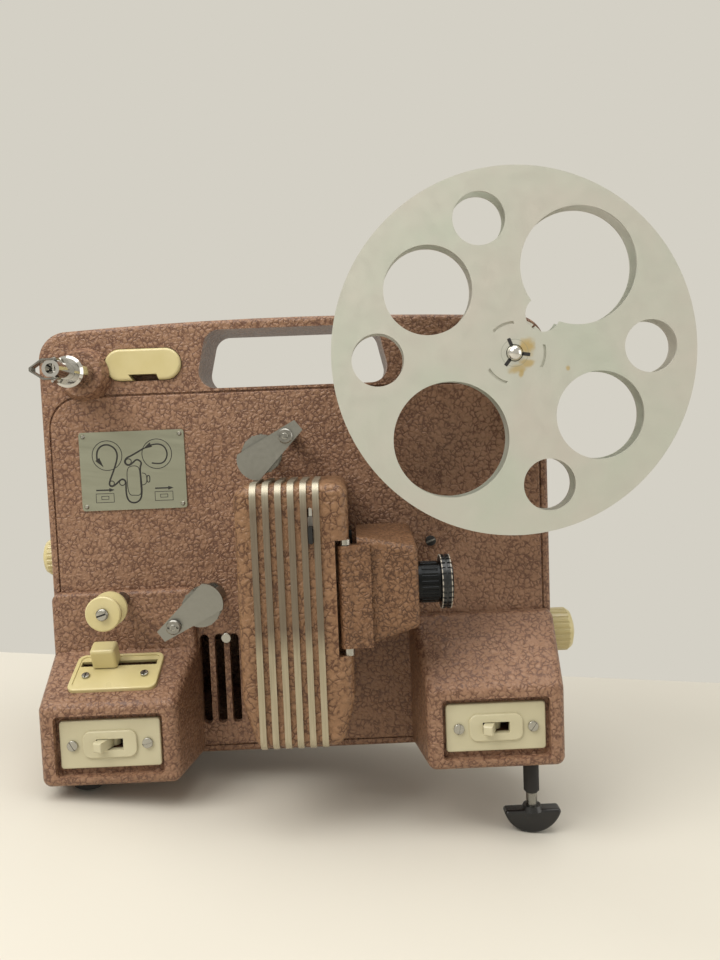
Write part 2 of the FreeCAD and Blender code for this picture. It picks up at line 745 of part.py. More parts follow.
def feed_spindle():
    tip_y = REEL_FRONT + 1.2
    shaft = keyed_shaft(FEED_X, tip_y)
    ball = Part.makeSphere(SPINDLE_R, at(FEED_X, tip_y, SPINDLE_Z))
    shaft = shaft.fuse(ball)
    disc = rod(at(FEED_X, SPINDLE_REAR - PULLEY_W, SPINDLE_Z), BACK, TAKEUP_PULLEY_R, PULLEY_W)
    return shaft.fuse(disc)


CATCH_Y = REEL_FRONT - 6.3
CATCH_DEPTH = 5.0
CATCH_SHEET = 0.8
CATCH_INNER = 4.0
CATCH_REACH = 10.4
CATCH_PIN_R = 0.8
TUBE_BORE_R = 2.4


def takeup_spindle():
    # A tube with three keys, flattened at its end for the two arms of the catch.
    x = SPINDLE_INSET
    tip_y = CATCH_Y - 4.0
    shaft = keyed_shaft(x, tip_y)
    shaft = shaft.fuse(spindle_pulley(x))
    shaft = shaft.cut(rod(at(x, tip_y - 1, SPINDLE_Z), BACK, TUBE_BORE_R, 10.0))
    flat = CATCH_INNER - GAP
    for z0, z1 in ((-SPINDLE_R - 1, -flat), (flat, SPINDLE_R + 1)):
        shaft = shaft.cut(block(x - SPINDLE_R, x + SPINDLE_R, tip_y - 1, CATCH_Y + 4.0,
                                SPINDLE_Z + z0, SPINDLE_Z + z1))
    half = CATCH_INNER + CATCH_SHEET + 0.3
    return shaft.fuse(rod(at(x, CATCH_Y, SPINDLE_Z - half), UP, CATCH_PIN_R, 2 * half))


def catch_frame(half, reach, right, low_y, depth):
    # The pointed outline of the catch seen along the spindle, drawn to the left.
    x = SPINDLE_INSET
    bend = x - SPINDLE_R - 0.5
    return flat_slab([at(x + right, low_y, SPINDLE_Z - half), at(bend, low_y, SPINDLE_Z - half),
                      at(x - reach, low_y, SPINDLE_Z - 0.8), at(x - reach, low_y, SPINDLE_Z + 0.8),
                      at(bend, low_y, SPINDLE_Z + half), at(x + right, low_y, SPINDLE_Z + half)],
                     at(0, depth, 0))


def spindle_catch():
    # A bent sheet frame that folds sideways to let a reel on, here folded to the left.
    x = SPINDLE_INSET
    low_y = CATCH_Y - CATCH_DEPTH / 2
    outer = catch_frame(CATCH_INNER + CATCH_SHEET, CATCH_REACH, 2.4, low_y, CATCH_DEPTH)
    inner = catch_frame(CATCH_INNER, CATCH_REACH - 1.2, 4.0, low_y - 1, CATCH_DEPTH + 2)
    pin = rod(at(x, CATCH_Y, SPINDLE_Z - 8), UP, CATCH_PIN_R + RUN, 16)
    return outer.cut(inner).cut(pin)


def spindle_collars():
    collars = []
    for x in (SPINDLE_INSET, FEED_X):
        base = at(x, COLLAR_FRONT, SPINDLE_Z)
        bore = SPINDLE_R + RUN
        seat = BOSS_FRONT - COLLAR_FRONT
        length = seat + 18.0
        collars.append(spun([(bore, 0), (COLLAR_R - 1.2, 0), (COLLAR_R, 1.2), (COLLAR_R, 9.0),
                             (COLLAR_R - 1.5, 11.0), (COLLAR_R - 0.6, seat),
                             (SPINDLE_R + 2.0, seat), (SPINDLE_R + 2.0, length),
                             (bore, length)], base, BACK))
    return Part.makeCompound(collars)


def sprocket(x, z, rear_pieces):
    # A twelve-tooth film sprocket with two flanges on its shaft.
    front = FILM_Y - SPROCKET_W / 2
    base = at(x, front, z)
    flange = 1.3
    drum = spun([(0, 0), (SPROCKET_FLANGE_R, 0), (SPROCKET_FLANGE_R, flange),
                 (SPROCKET_R, flange), (SPROCKET_R, SPROCKET_W - flange),
                 (SPROCKET_FLANGE_R, SPROCKET_W - flange), (SPROCKET_FLANGE_R, SPROCKET_W),
                 (0, SPROCKET_W)], base, BACK)
    tooth_y = front + flange + 0.9
    for i in range(SPROCKET_TEETH):
        tooth = Part.makeBox(1.0, 1.2, TOOTH_H + 0.5,
                             at(x - 0.5, tooth_y, z + SPROCKET_R - 0.5))
        tooth.rotate(at(x, 0, z), BACK, 360.0 / SPROCKET_TEETH * i)
        drum = drum.fuse(tooth)
    rear = 18.5
    shaft = rod(at(x, front + SPROCKET_W - 0.5, z), BACK, SPROCKET_SHAFT_R,
                rear - front - SPROCKET_W + 0.5)
    drum = drum.fuse(shaft)
    for piece in rear_pieces:
        drum = drum.fuse(piece)
    return drum


def chain_wheel(x, z):
    return rod(at(x, CHAIN_FRONT, z), BACK, CHAIN_WHEEL_R, CHAIN_W)


def upper_sprocket():
    x, z = UPPER_SPROCKET_X, UPPER_SPROCKET_Z
    pulley = spun([(0, 0), (8.0, 0), (7.0, PULLEY_W / 2), (8.0, PULLEY_W), (0, PULLEY_W)],
                  at(x, SPINDLE_REAR - PULLEY_W, z), BACK)
    link = rod(at(x, 17.0, z), BACK, SPROCKET_SHAFT_R, SPINDLE_REAR - 17.0)
    return sprocket(x, z, [chain_wheel(x, z), link, pulley])


def worm_wheel_r():
    return AXIS_Z - LOWER_SPROCKET_Z - WORM_R - GAP


def lower_sprocket():
    x, z = LOWER_SPROCKET_X, LOWER_SPROCKET_Z
    wheel = rod(at(x, MAIN_Y - 2.5, z), BACK, worm_wheel_r(), 5.0)
    return sprocket(x, z, [chain_wheel(x, z), wheel])


def sprocket_bushes():
    bushes = []
    for x, z in sprocket_centres():
        bushes.append(spun([(SPROCKET_SHAFT_R + RUN, 0), (5.5, 0), (5.5, 3.0),
                            (SPROCKET_SHAFT_R + 2.0, 3.0), (SPROCKET_SHAFT_R + 2.0, 7.5),
                            (SPROCKET_SHAFT_R + RUN, 7.5)], at(x, -3.0, z), BACK))
    return Part.makeCompound(bushes)


def keeper(x, z, turn, wheel_x, wheel_z):
    # A pressed plate over the sprocket, wider and round at its far end, on a pivot tube,
    # with a curved shoe behind it that holds the film on the teeth.
    y = KEEPER_FRONT
    heel = x - KEEPER_HEEL
    far = x + KEEPER_REACH
    narrow = KEEPER_HEEL_W / 2
    wide = KEEPER_WIDE / 2
    edges = [Part.LineSegment(at(heel, y, z - narrow), at(far, y, z - wide)).toShape(),
             Part.Arc(at(far, y, z - wide), at(far + KEEPER_BULGE, y, z),
                      at(far, y, z + wide)).toShape(),
             Part.LineSegment(at(far, y, z + wide), at(heel, y, z + narrow)).toShape(),
             Part.LineSegment(at(heel, y, z + narrow), at(heel, y, z - narrow)).toShape()]
    plate = Part.Face(Part.Wire(edges)).extrude(at(0, KEEPER_T, 0))
    plate.rotate(at(x, y, z), BACK, -turn)
    eye_back = FILM_Y + SPROCKET_W / 2
    eye = rod(at(x, y + KEEPER_T, z), BACK, POST_R + 1.1, eye_back - y - KEEPER_T)
    inner = SPROCKET_R + TOOTH_H + 0.8
    shoe = tube(at(wheel_x, y + KEEPER_T, wheel_z), BACK, inner + 1.3, inner,
                eye_back - y - KEEPER_T)
    side = block(wheel_x, wheel_x + inner + 3, y, eye_back + 1, wheel_z - 2.8, wheel_z + 2.8)
    side.rotate(at(wheel_x, y, wheel_z), BACK, -turn)
    arm = plate.fuse(eye).fuse(shoe.common(side))
    return arm.cut(rod(at(x, y - 1, z), BACK, POST_R + RUN, 30))


def upper_keeper():
    return keeper(UPPER_KEEPER_X, UPPER_KEEPER_Z, UPPER_KEEPER_TURN,
                  UPPER_SPROCKET_X, UPPER_SPROCKET_Z)


def lower_keeper():
    return keeper(LOWER_KEEPER_X, LOWER_KEEPER_Z, LOWER_KEEPER_TURN,
                  LOWER_SPROCKET_X, LOWER_SPROCKET_Z)


def spanner_nut(base, radius, height):
    # A round nut with two spanner holes and the end of its stud in the middle.
    nut = spun([(0, 0), (radius - 0.5, 0), (radius, 0.5), (radius, height), (0, height)],
               base, BACK)
    for side in (-1, 1):
        nut = nut.cut(rod(base + at(side * radius * 0.6, -1, 0), BACK, 0.6, 2.2))
    return nut.fuse(rod(base + at(0, -0.5, 0), BACK, 1.1, 1.0))


def keeper_posts():
    posts = []
    for x, z in ((UPPER_KEEPER_X, UPPER_KEEPER_Z), (LOWER_KEEPER_X, LOWER_KEEPER_Z)):
        foot = FILM_Y + SPROCKET_W / 2 + GAP
        seat = 0.0 if z > STEP_TOP else -STEP_RISE
        base = at(x, KEEPER_FRONT - GAP - 2.2, z)
        total = seat - base.y
        shoulder = foot - base.y
        stud = spun([(0, 1.0), (POST_R, 1.0), (POST_R, shoulder), (POST_R + 1.2, shoulder),
                     (POST_R + 1.2, total), (0, total)], base, BACK)
        posts.append(stud.fuse(spanner_nut(base, KEEPER_NUT_R, 2.2)))
    return Part.makeCompound(posts)


def guide_roller():
    front = FILM_Y - ROLLER_W / 2
    wide = ROLLER_R
    core = ROLLER_CORE_R
    bore = POST_R + RUN
    return spun([(bore, 0), (wide - 0.6, 0), (wide, 0.6), (wide, 2.4), (core, 3.4),
                 (core, ROLLER_W - 3.4), (wide, ROLLER_W - 2.4), (wide, ROLLER_W - 0.6),
                 (wide - 0.6, ROLLER_W), (bore, ROLLER_W)], at(ROLLER_X, front, ROLLER_Z), BACK)


def roller_post():
    front = FILM_Y - ROLLER_W / 2 - GAP
    base = at(ROLLER_X, front - 1.6, ROLLER_Z)
    seat = -STEP_RISE - base.y
    shoulder = FILM_Y + ROLLER_W / 2 + GAP - base.y
    return spun([(0, 0), (2.4, 0), (2.9, 0.5), (2.9, 1.6), (POST_R, 1.6), (POST_R, shoulder),
                 (POST_R + 1.4, shoulder), (POST_R + 1.4, seat), (0, seat)], base, BACK)


def lamp_cover_outline(inset, y):
    left = LAMP_COVER_LEFT + inset
    right = LAMP_COVER_RIGHT - inset
    top = LAMP_COVER_TOP - inset
    low = LAMP_COVER_BOTTOM + inset
    corners = [at(left + LAMP_COVER_TAPER, y, low), at(right - LAMP_COVER_TAPER, y, low),
               at(right, y, LAMP_COVER_TAPER_Z), at(right, y, top),
               at(left, y, top), at(left, y, LAMP_COVER_TAPER_Z)]
    big = LAMP_COVER_EDGE_R - inset / 2
    return rounded_wire(corners, [big, big, 8.0, big, big, 8.0])


def lamp_cover():
    depth = -LAMP_COVER_FRONT
    shell = Part.Face(lamp_cover_outline(0, LAMP_COVER_FRONT)).extrude(at(0, depth, 0))
    shell = round_edges(shell, LAMP_COVER_EDGE_R - 1.0,
                        lambda e: in_plane_y(e, LAMP_COVER_FRONT))
    inner_front = LAMP_COVER_FRONT + LAMP_COVER_WALL
    hollow = Part.Face(lamp_cover_outline(LAMP_COVER_WALL, inner_front)).extrude(
        at(0, -inner_front + 1, 0))
    niche_wall = block(HINGE_X - KNUCKLE_R - 0.8 - LAMP_COVER_WALL, LAMP_COVER_RIGHT,
                       LAMP_COVER_FRONT, HINGE_Y + KNUCKLE_R + 0.8 + LAMP_COVER_WALL,
                       NICHE_BOTTOM - 5.0, NICHE_TOP + 5.0)
    shell = shell.cut(hollow.cut(niche_wall))
    niche = block(HINGE_X - KNUCKLE_R - 0.8, LAMP_COVER_RIGHT + 1, LAMP_COVER_FRONT - 1,
                  HINGE_Y + KNUCKLE_R + 0.8, NICHE_BOTTOM, NICHE_TOP)
    shell = shell.cut(niche)
    shell = shell.cut(rod(at(HINGE_X, HINGE_Y, NICHE_BOTTOM - 5), UP, PIN_R,
                          NICHE_TOP - NICHE_BOTTOM + 9))
    shell = shell.cut(rod(at(LAMP_COVER_RIGHT - 4, FILM_Y, AXIS_Z), RIGHT, 5.0, 6))
    shell = shell.cut(block(LAMP_COVER_RIGHT - 4, LAMP_COVER_RIGHT + 1, FILM_Y + 3.0,
                            FILM_Y + 6.0, AXIS_Z - 21, AXIS_Z - 8))
    return shell.cut(latch_slot())


def latch_slot():
    half = LATCH_SLOT_W / 2
    return rounded_slab(LATCH_X - half, LATCH_X + half, LATCH_BOTTOM, LATCH_TOP, half - 0.01,
                        LAMP_COVER_FRONT - 1, LAMP_COVER_FRONT + LAMP_COVER_WALL + 1)


def cover_latch():
    # A flat slide behind the slot with a finger tab through it.
    half = LATCH_SLOT_W / 2 - 0.25
    back = LAMP_COVER_FRONT + LAMP_COVER_WALL + GAP
    tab = block(LATCH_X - half, LATCH_X + half, LAMP_COVER_FRONT - 3.0, back + 1.0,
                LATCH_BOTTOM + 0.6, LATCH_BOTTOM + 8.0)
    slide = block(LATCH_X - 3.5, LATCH_X + 3.5, back, back + 1.6, LATCH_BOTTOM - 3,
                  LATCH_BOTTOM + 12)
    return tab.fuse(slide)


def lamp_cover_ribs():
    # Bright strips bent over the cover's top edge, down its front and under its foot.
    front = LAMP_COVER_FRONT
    top = LAMP_COVER_TOP
    low = LAMP_COVER_BOTTOM
    proud = RIB_PROUD
    edge = LAMP_COVER_EDGE_R + proud
    ribs = []
    for i in range(RIB_COUNT):
        x = RIB_FIRST_X + i * RIB_PITCH - RIB_W / 2
        corners = [at(x, RIB_BACK, top + proud), at(x, front - proud, top + proud),
                   at(x, front - proud, low - proud), at(x, front + 12, low - proud),
                   at(x, front + 12, low + 8), at(x, front + 9, low + 14),
                   at(x, front + 9, top - 8), at(x, RIB_BACK, top - 8)]
        wire = rounded_wire(corners, [0.4, edge, edge, 0.4, 1.0, 1.0, 1.0, 1.0])
        strip = Part.Face(wire).extrude(at(RIB_W, 0, 0))
        ribs.append(strip)
    solid = Part.Face(lamp_cover_outline(0, front)).extrude(at(0, -front, 0))
    solid = round_edges(solid, LAMP_COVER_EDGE_R - 1.0, lambda e: in_plane_y(e, front))
    return Part.makeCompound([rib.cut(solid) for rib in ribs])


def gate_plate():
    left = LAMP_COVER_RIGHT
    plate = block(left, left + GATE_T, FILM_Y - 9.0, FILM_Y + 9.0, AXIS_Z - 28, AXIS_Z + 28)
    aperture = block(left - 1, left + GATE_T + 1, FILM_Y - 2.3, FILM_Y + 2.3, AXIS_Z - 1.7,
                     AXIS_Z + 1.7)
    slot = block(left - 1, left + GATE_T + 1, FILM_Y + 3.6, FILM_Y + 5.4, AXIS_Z - 20,
                 AXIS_Z - 9)
    return plate.cut(aperture).cut(slot)


def pressure_plate():
    left = LAMP_COVER_RIGHT + GATE_T + FILM_CHANNEL
    plate = block(left, DOOR_LEFT, FILM_Y - 7.0, FILM_Y + 7.0, AXIS_Z - 17, AXIS_Z + 17)
    hole = rod(at(left - 1, FILM_Y, AXIS_Z), RIGHT, 4.0, DOOR_LEFT - left + 2)
    return plate.cut(hole)


def door_corners(y):
    # The top edge falls to the right at the front and is level at the back.
    fall = 6.0 * (DOOR_BACK - y) / (DOOR_BACK - DOOR_FRONT)
    return [at(DOOR_LEFT, y, AXIS_Z - 25.5), at(DOOR_RIGHT, y, AXIS_Z - 17.0),
            at(DOOR_RIGHT, y, AXIS_Z + 26.5 - fall), at(DOOR_LEFT, y, AXIS_Z + 26.5)]


def lens_door():
    # The cast lens carrier: a wedge-shaped box on a long knuckle.
    outlines = []
    for y in (DOOR_FRONT, DOOR_BACK):
        corners = door_corners(y)
        outlines.append(Part.makePolygon(corners + [corners[0]]))
    body = Part.makeLoft(outlines, True, True)
    body = round_edges(body, DOOR_EDGE_R, lambda e: e.BoundBox.XMax > DOOR_LEFT + 0.5
                       and not in_plane_y(e, DOOR_BACK))
    web = block(HINGE_X, DOOR_LEFT + 6, HINGE_Y - 2.6, HINGE_Y + 3.4, KNUCKLE_BOTTOM,
                KNUCKLE_TOP)
    knuckle = rod(at(HINGE_X, HINGE_Y, KNUCKLE_BOTTOM), UP, KNUCKLE_R,
                  KNUCKLE_TOP - KNUCKLE_BOTTOM)
    body = body.fuse(web).fuse(knuckle)
    body = body.cut(rod(at(HINGE_X, HINGE_Y, KNUCKLE_BOTTOM - 1), UP, PIN_R + RUN,
                        KNUCKLE_TOP - KNUCKLE_BOTTOM + 2))
    return body.cut(rod(at(DOOR_LEFT - 1, FILM_Y, AXIS_Z), RIGHT, BARREL_R + RUN,
                        DOOR_RIGHT - DOOR_LEFT + 2))


def door_pin():
    pin = rod(at(HINGE_X, HINGE_Y, NICHE_BOTTOM - 4), UP, PIN_R, NICHE_TOP - NICHE_BOTTOM + 7)
    low = rod(at(HINGE_X, HINGE_Y, NICHE_BOTTOM), UP, 2.6, KNUCKLE_BOTTOM - NICHE_BOTTOM - GAP)
    high = rod(at(HINGE_X, HINGE_Y, KNUCKLE_TOP + GAP), UP, 2.6,
               NICHE_TOP - KNUCKLE_TOP - GAP)
    return pin.fuse(low).fuse(high)


BARREL_LEFT = 165.0
LENS_BORE_R = 8.0
BARREL_FLUTES = 24


def lens_barrel():
    ring_seat = RING_LEFT - BARREL_LEFT
    end = ring_seat + RING_W + 1.0
    barrel = spun([(LENS_BORE_R, 0), (BARREL_R, 0), (BARREL_R, ring_seat - 0.3),
                   (BARREL_R - 0.6, ring_seat), (BARREL_R - 0.6, end), (LENS_BORE_R, end)],
                  at(BARREL_LEFT, FILM_Y, AXIS_Z), RIGHT)
    for i in range(BARREL_FLUTES):
        flute = rod(at(DOOR_RIGHT + 2.5, FILM_Y, AXIS_Z + BARREL_R + 0.5), RIGHT, 0.9,
                    RING_LEFT - DOOR_RIGHT - 4.0)
        flute.rotate(at(0, FILM_Y, AXIS_Z), RIGHT, 360.0 / BARREL_FLUTES * i)
        barrel = barrel.cut(flute)
    return barrel


def focus_ring():
    # The fluted ring that turns on the end of the barrel.
    ring = tube(at(RING_LEFT, FILM_Y, AXIS_Z), RIGHT, RING_R, BARREL_R - 0.6 + RUN, RING_W)
    groove = tube(at(RING_LEFT + RING_W / 2 - 0.5, FILM_Y, AXIS_Z), RIGHT, RING_R + 1,
                  RING_R - 0.7, 1.0)
    ring = ring.cut(groove)
    for i in range(RING_FLUTES):
        flute = Part.makeBox(RING_W + 2, 1.2, 1.2,
                             at(RING_LEFT - 1, FILM_Y - 0.6, AXIS_Z + RING_R - 0.6))
        flute.rotate(at(0, FILM_Y, AXIS_Z), RIGHT, 360.0 / RING_FLUTES * i)
        ring = ring.cut(flute)
    return ring


def lens_element(x, radius, thickness, bulge):
    # A biconvex glass, turned from its half section about the optical axis.
    half = thickness / 2.0
    ball = (radius ** 2 + bulge ** 2) / (2 * bulge)
    rise = bulge - ball + math.sqrt(ball ** 2 - radius ** 2 / 4)
    left = at(x - half, FILM_Y, AXIS_Z + radius)
    right = at(x + half, FILM_Y, AXIS_Z + radius)
    left_pole = at(x - half - bulge, FILM_Y, AXIS_Z)
    right_pole = at(x + half + bulge, FILM_Y, AXIS_Z)
    left_mid = at(x - half - rise, FILM_Y, AXIS_Z + radius / 2)
    right_mid = at(x + half + rise, FILM_Y, AXIS_Z + radius / 2)
    edges = [Part.Arc(left_pole, left_mid, left).toShape(),
             Part.LineSegment(left, right).toShape(),
             Part.Arc(right, right_mid, right_pole).toShape(),
             Part.LineSegment(right_pole, left_pole).toShape()]
    section = Part.Face(Part.Wire(edges))
    return section.revolve(at(x, FILM_Y, AXIS_Z), RIGHT, 360)


def lens_glasses():
    front = lens_element(RING_LEFT + 2.0, LENS_BORE_R, 3.0, 1.2)
    rear = lens_element(BARREL_LEFT + 5.0, LENS_BORE_R, 3.0, 1.2)
    return Part.makeCompound([front, rear])


def condenser_lens():
    return lens_element(144.5, 9.0, 4.0, 1.5)


def condenser_holder():
    ring = tube(at(142.0, FILM_Y, AXIS_Z), RIGHT, 10.5, 9.0, 5.0)
    stem = block(142.0, 147.0, FILM_Y + 9.8, 0.0, AXIS_Z - 3, AXIS_Z + 3)
    return ring.fuse(stem)


def lamp_bulb():
    # A tubular projector bulb: domed glass on a metal cap.
    glass = spun([(0, 0), (BULB_R - 3, 0), (BULB_R, 4), (BULB_R, BULB_TOP - BULB_BOTTOM - 8),
                  (BULB_R * 0.8, BULB_TOP - BULB_BOTTOM - 2), (0, BULB_TOP - BULB_BOTTOM)],
                 at(LAMP_X, FILM_Y, BULB_BOTTOM), UP)
    cap = rod(at(LAMP_X, FILM_Y, BULB_BOTTOM - 18), UP, 8.5, 18)
    return glass.fuse(cap)


def lamp_socket():
    # The bulb's cup on its arm.
    low = BULB_BOTTOM - 26
    cup = rod(at(LAMP_X, FILM_Y, low), UP, 11.5, 18)
    cup = cup.cut(rod(at(LAMP_X, FILM_Y, BULB_BOTTOM - 18), UP, 8.5, 20))
    arm = block(LAMP_X - 7, LAMP_X + 7, FILM_Y + 10.5, 0, low, low + 12)
    return cup.fuse(arm)


def lamp_reflector():
    ball = 21.0
    centre = at(LAMP_X + 3, FILM_Y, AXIS_Z)
    outer = Part.makeSphere(ball, centre)
    inner = Part.makeSphere(ball - 1.2, centre)
    slice_box = block(LAMP_COVER_LEFT, LAMP_X - 13.5, FILM_Y - 15, FILM_Y + 15, AXIS_Z - 15,
                      AXIS_Z + 15)
    bowl = outer.cut(inner).common(slice_box)
    stay = block(LAMP_X - 17.8, LAMP_X - 16.6, FILM_Y + 4, 0, AXIS_Z - 4, AXIS_Z + 4)
    return bowl.fuse(stay)


def label_plate():
    return rounded_slab(LABEL_LEFT, LABEL_LEFT + LABEL_W, LABEL_BOTTOM, LABEL_BOTTOM + LABEL_H,
                        1.5, -LABEL_T, 0)


def label_rivets():
    rivets = []
    for x in (LABEL_LEFT + 2.2, LABEL_LEFT + LABEL_W - 2.2):
        for z in (LABEL_BOTTOM + 2.2, LABEL_BOTTOM + LABEL_H - 2.2):
            rivets.append(Part.makeCone(1.2, 0.7, 0.7, at(x, -LABEL_T, z), FRONT))
    return Part.makeCompound(rivets)


def switch_plate(x_mid):
    # The switch's cream face: a flat plate with a raised middle and the toggle's slot.
    z_mid = block_mid_z()
    back = -BLOCK_D + RECESS_DEPTH
    plate = rounded_slab(x_mid - PLATE_W / 2, x_mid + PLATE_W / 2, z_mid - PLATE_H / 2,
                         z_mid + PLATE_H / 2, 1.6, back - PLATE_T, back)
    plate = round_edges(plate, 0.7, lambda e: in_plane_y(e, back - PLATE_T))
    middle = rounded_slab(x_mid - 13, x_mid + 13, z_mid - 6.6, z_mid + 6.6, 4.0,
                          back - PLATE_T - 1.3, back - 0.5)
    middle = round_edges(middle, 0.6, lambda e: in_plane_y(e, back - PLATE_T - 1.3))
    slot = block(x_mid - TOGGLE_SLOT_W / 2, x_mid + TOGGLE_SLOT_W / 2, back - PLATE_T - 2,
                 back + 1, z_mid - TOGGLE_SLOT_H / 2, z_mid + TOGGLE_SLOT_H / 2)
    plate = plate.fuse(middle).cut(slot)
    for place in switch_screw_places():
        plate = plate.cut(rod(place + FRONT, BACK, CONTROL_SCREW_R, PLATE_T + 2))
    return plate


TOGGLE_PIVOT = 4.5


def toggle_axis_y():
    return -BLOCK_D + RECESS_DEPTH + TOGGLE_PIVOT


def toggle(x_mid):
    # The bat of a snap switch, leaning to the left.
    z_mid = block_mid_z()
    low = z_mid - TOGGLE_T / 2
    y = toggle_axis_y()
    hub = rod(at(x_mid, y, low), UP, 3.4, TOGGLE_T)
    bat = flat_slab([at(x_mid - 2.0, y, low), at(x_mid + 2.0, y, low),
                     at(x_mid + 2.3, y - 13.2, low), at(x_mid - 2.3, y - 13.2, low)],
                    at(0, 0, TOGGLE_T))
    bat = round_edges(bat, 0.8, lambda e: e.BoundBox.YMax < y - 13.0)
    bat.rotate(at(x_mid, y, z_mid), UP, -TOGGLE_LEAN)
    lever = hub.fuse(bat)
    return lever.cut(rod(at(x_mid, y, low - 1), UP, 1.0 + RUN, TOGGLE_T + 2))


def switch_body(x_mid):
    # The snap switch behind its plate, with its pivot pin across the lever's pocket.
    z_mid = block_mid_z()
    back = -BLOCK_D + RECESS_DEPTH
    body = block(x_mid - 13, x_mid + 13, back, back + 14, z_mid - 7, z_mid + 7)
    pocket = block(x_mid - TOGGLE_SLOT_W / 2 - 0.5, x_mid + TOGGLE_SLOT_W / 2 + 0.5, back - 1,
                   back + 9, z_mid - TOGGLE_T / 2 - 0.4, z_mid + TOGGLE_T / 2 + 0.4)
    pin = rod(at(x_mid, toggle_axis_y(), z_mid - TOGGLE_T / 2 - 1), UP, 1.0, TOGGLE_T + 2)
    return body.cut(pocket).fuse(pin)


def speed_plate():
    w = SPEED_PLATE_W / 2
    half = SPEED_PLATE_L / 2
    mid = SPEED_PLATE_MID
    corners = [at(SPEED_PLATE_X - w, mid - half, 0), at(SPEED_PLATE_X + w, mid - half, 0),
               at(SPEED_PLATE_X + w, mid + half, 0), at(SPEED_PLATE_X - w, mid + half, 0)]
    plate = Part.Face(rounded_wire(corners, [4.0] * 4)).extrude(at(0, 0, SPEED_PLATE_T))
    plate = round_edges(plate, 0.7, lambda e: abs(e.BoundBox.ZMin - SPEED_PLATE_T) < 0.01)
    rim = [corners[0] + at(2, 2, 0), corners[1] + at(-2, 2, 0), corners[2] + at(-2, -2, 0),
           corners[3] + at(2, -2, 0)]
    field = Part.Face(rounded_wire(rim, [2.5] * 4)).extrude(at(0, 0, 1))
    field.translate(at(0, 0, SPEED_FIELD_T))
    plate = plate.cut(field)
    for place in speed_screw_places():
        plate = plate.cut(rod(place + UP, DOWN, SPEED_SCREW_R, SPEED_PLATE_T + 3))
    return slope_tool(plate).cut(speed_slot(SPEED_SLOT_W, SPEED_SLOT_H, -1, SPEED_PLATE_T + 1))


def speed_slider():
    # The speed control's cap on a flat stem that runs in the slot.
    x = SPEED_KNOB_X
    mid = SPEED_SLOT_MID
    top = SPEED_PLATE_T + GAP
    cap = block(x - 6.2, x + 6.2, mid - 4.2, mid + 4.6, top, top + 10.5)
    cap = round_edges(cap, 1.6, lambda e: e.BoundBox.ZMax > top + 1.0)
    stem = block(x - 3.5, x + 3.5, mid - 1.2, mid + 1.2, -9.0, top + 2.0)
    foot = block(x - 4.5, x + 4.5, mid - 4.0, mid + 4.0, -9.5, -8.0)
    return slope_tool(cap.fuse(stem).fuse(foot))


def speed_resistor():
    # The wound resistor that the slider's wiper runs along, on two ears from the block's top.
    w = SPEED_SLOT_W / 2 + 2
    mid = SPEED_SLOT_MID
    bar = block(SPEED_PLATE_X - w, SPEED_PLATE_X + w, mid - 4.5, mid + 4.5, -17.0, -9.8)
    ears = []
    for side in (-1, 1):
        x = SPEED_PLATE_X + side * (w - 1)
        ears.append(block(x - 1, x + 1, mid + 2.8, mid + 4.5, -10.0, -WALL))
    return slope_tool(bar.fuse(ears[0]).fuse(ears[1]))


def switch_screw_places():
    # Where the four switch screws meet the faces of their plates.
    y = -BLOCK_D + RECESS_DEPTH - PLATE_T
    z = block_mid_z() - 0.2
    spots = []
    for x_mid in (left_block_mid(), right_block_mid()):
        spots.append(at(x_mid - SWITCH_SCREW_X, y, z))
        spots.append(at(x_mid + SWITCH_SCREW_X, y, z))
    return spots


def speed_screw_places():
    # Where the two speed plate screws meet its face, before the plate is laid on the slope.
    y = SPEED_PLATE_MID - 3.0
    return [at(SPEED_PLATE_X - SPEED_SCREW_X, y, SPEED_FIELD_T),
            at(SPEED_PLATE_X + SPEED_SCREW_X, y, SPEED_FIELD_T)]


def control_screws():
    screws = []
    for place in switch_screw_places():
        screws.append(slotted_screw(place, FRONT, 2.5, 1.0, CONTROL_SCREW_R, CONTROL_SCREW_L))
    for place in speed_screw_places():
        screw = slotted_screw(place, UP, 1.9, 0.9, SPEED_SCREW_R, CONTROL_SCREW_L)
        screws.append(slope_tool(screw))
    return Part.makeCompound(screws)


def panel_screw_places():
    between = VENT_FIRST_X + 1.5 * VENT_PITCH
    return [at(between, 0, VENT_TOP - 2.2), at(199.0, 0, 109.5)]


def panel_screws():
    return Part.makeCompound([slotted_screw(place, FRONT, 2.7, 1.2, 1.0, 3.0)
                              for place in panel_screw_places()])


def oval_key(x_mid):
    # A domed oval key in its pocket, notched at the foot, on two guide stems.
    front = PANEL_STEP - OVAL_PROUD
    back = PANEL_STEP + OVAL_POCKET - OVAL_TRAVEL - GAP
    key = oval_prism(x_mid, front, back, GAP)
    key = round_edges(key, 1.5, lambda e: in_plane_y(e, front))
    low = OVAL_Z - OVAL_H / 2
    notch = flat_slab([at(x_mid - 4.5, front - 1, low - 1), at(x_mid + 8.5, front - 1, low - 1),
                       at(x_mid + 7.0, front - 1, low + 3.4),
                       at(x_mid - 7.5, front - 1, low + 3.4)], at(0, back - front + 2, 0))
    return key.cut(notch)


def knob(x, y, z, direction, length, radius):
    # A domed knob with fluted sides, turned and then grooved.
    base = at(x, y, z)
    side = length - 4.5
    body = spun([(0, 0), (radius - 1.0, 0), (radius, 1.0), (radius, side),
                 (radius * 0.86, side + 2.4), (radius * 0.5, side + 4.0), (0, length)],
                base, direction)
    for i in range(SIDE_KNOB_FLUTES):
        flute = rod(base + UP * (radius + 0.5) + direction * 1.5, direction, 1.0, length)
        flute.rotate(base, direction, 360.0 / SIDE_KNOB_FLUTES * i)
        body = body.cut(flute)
    return body


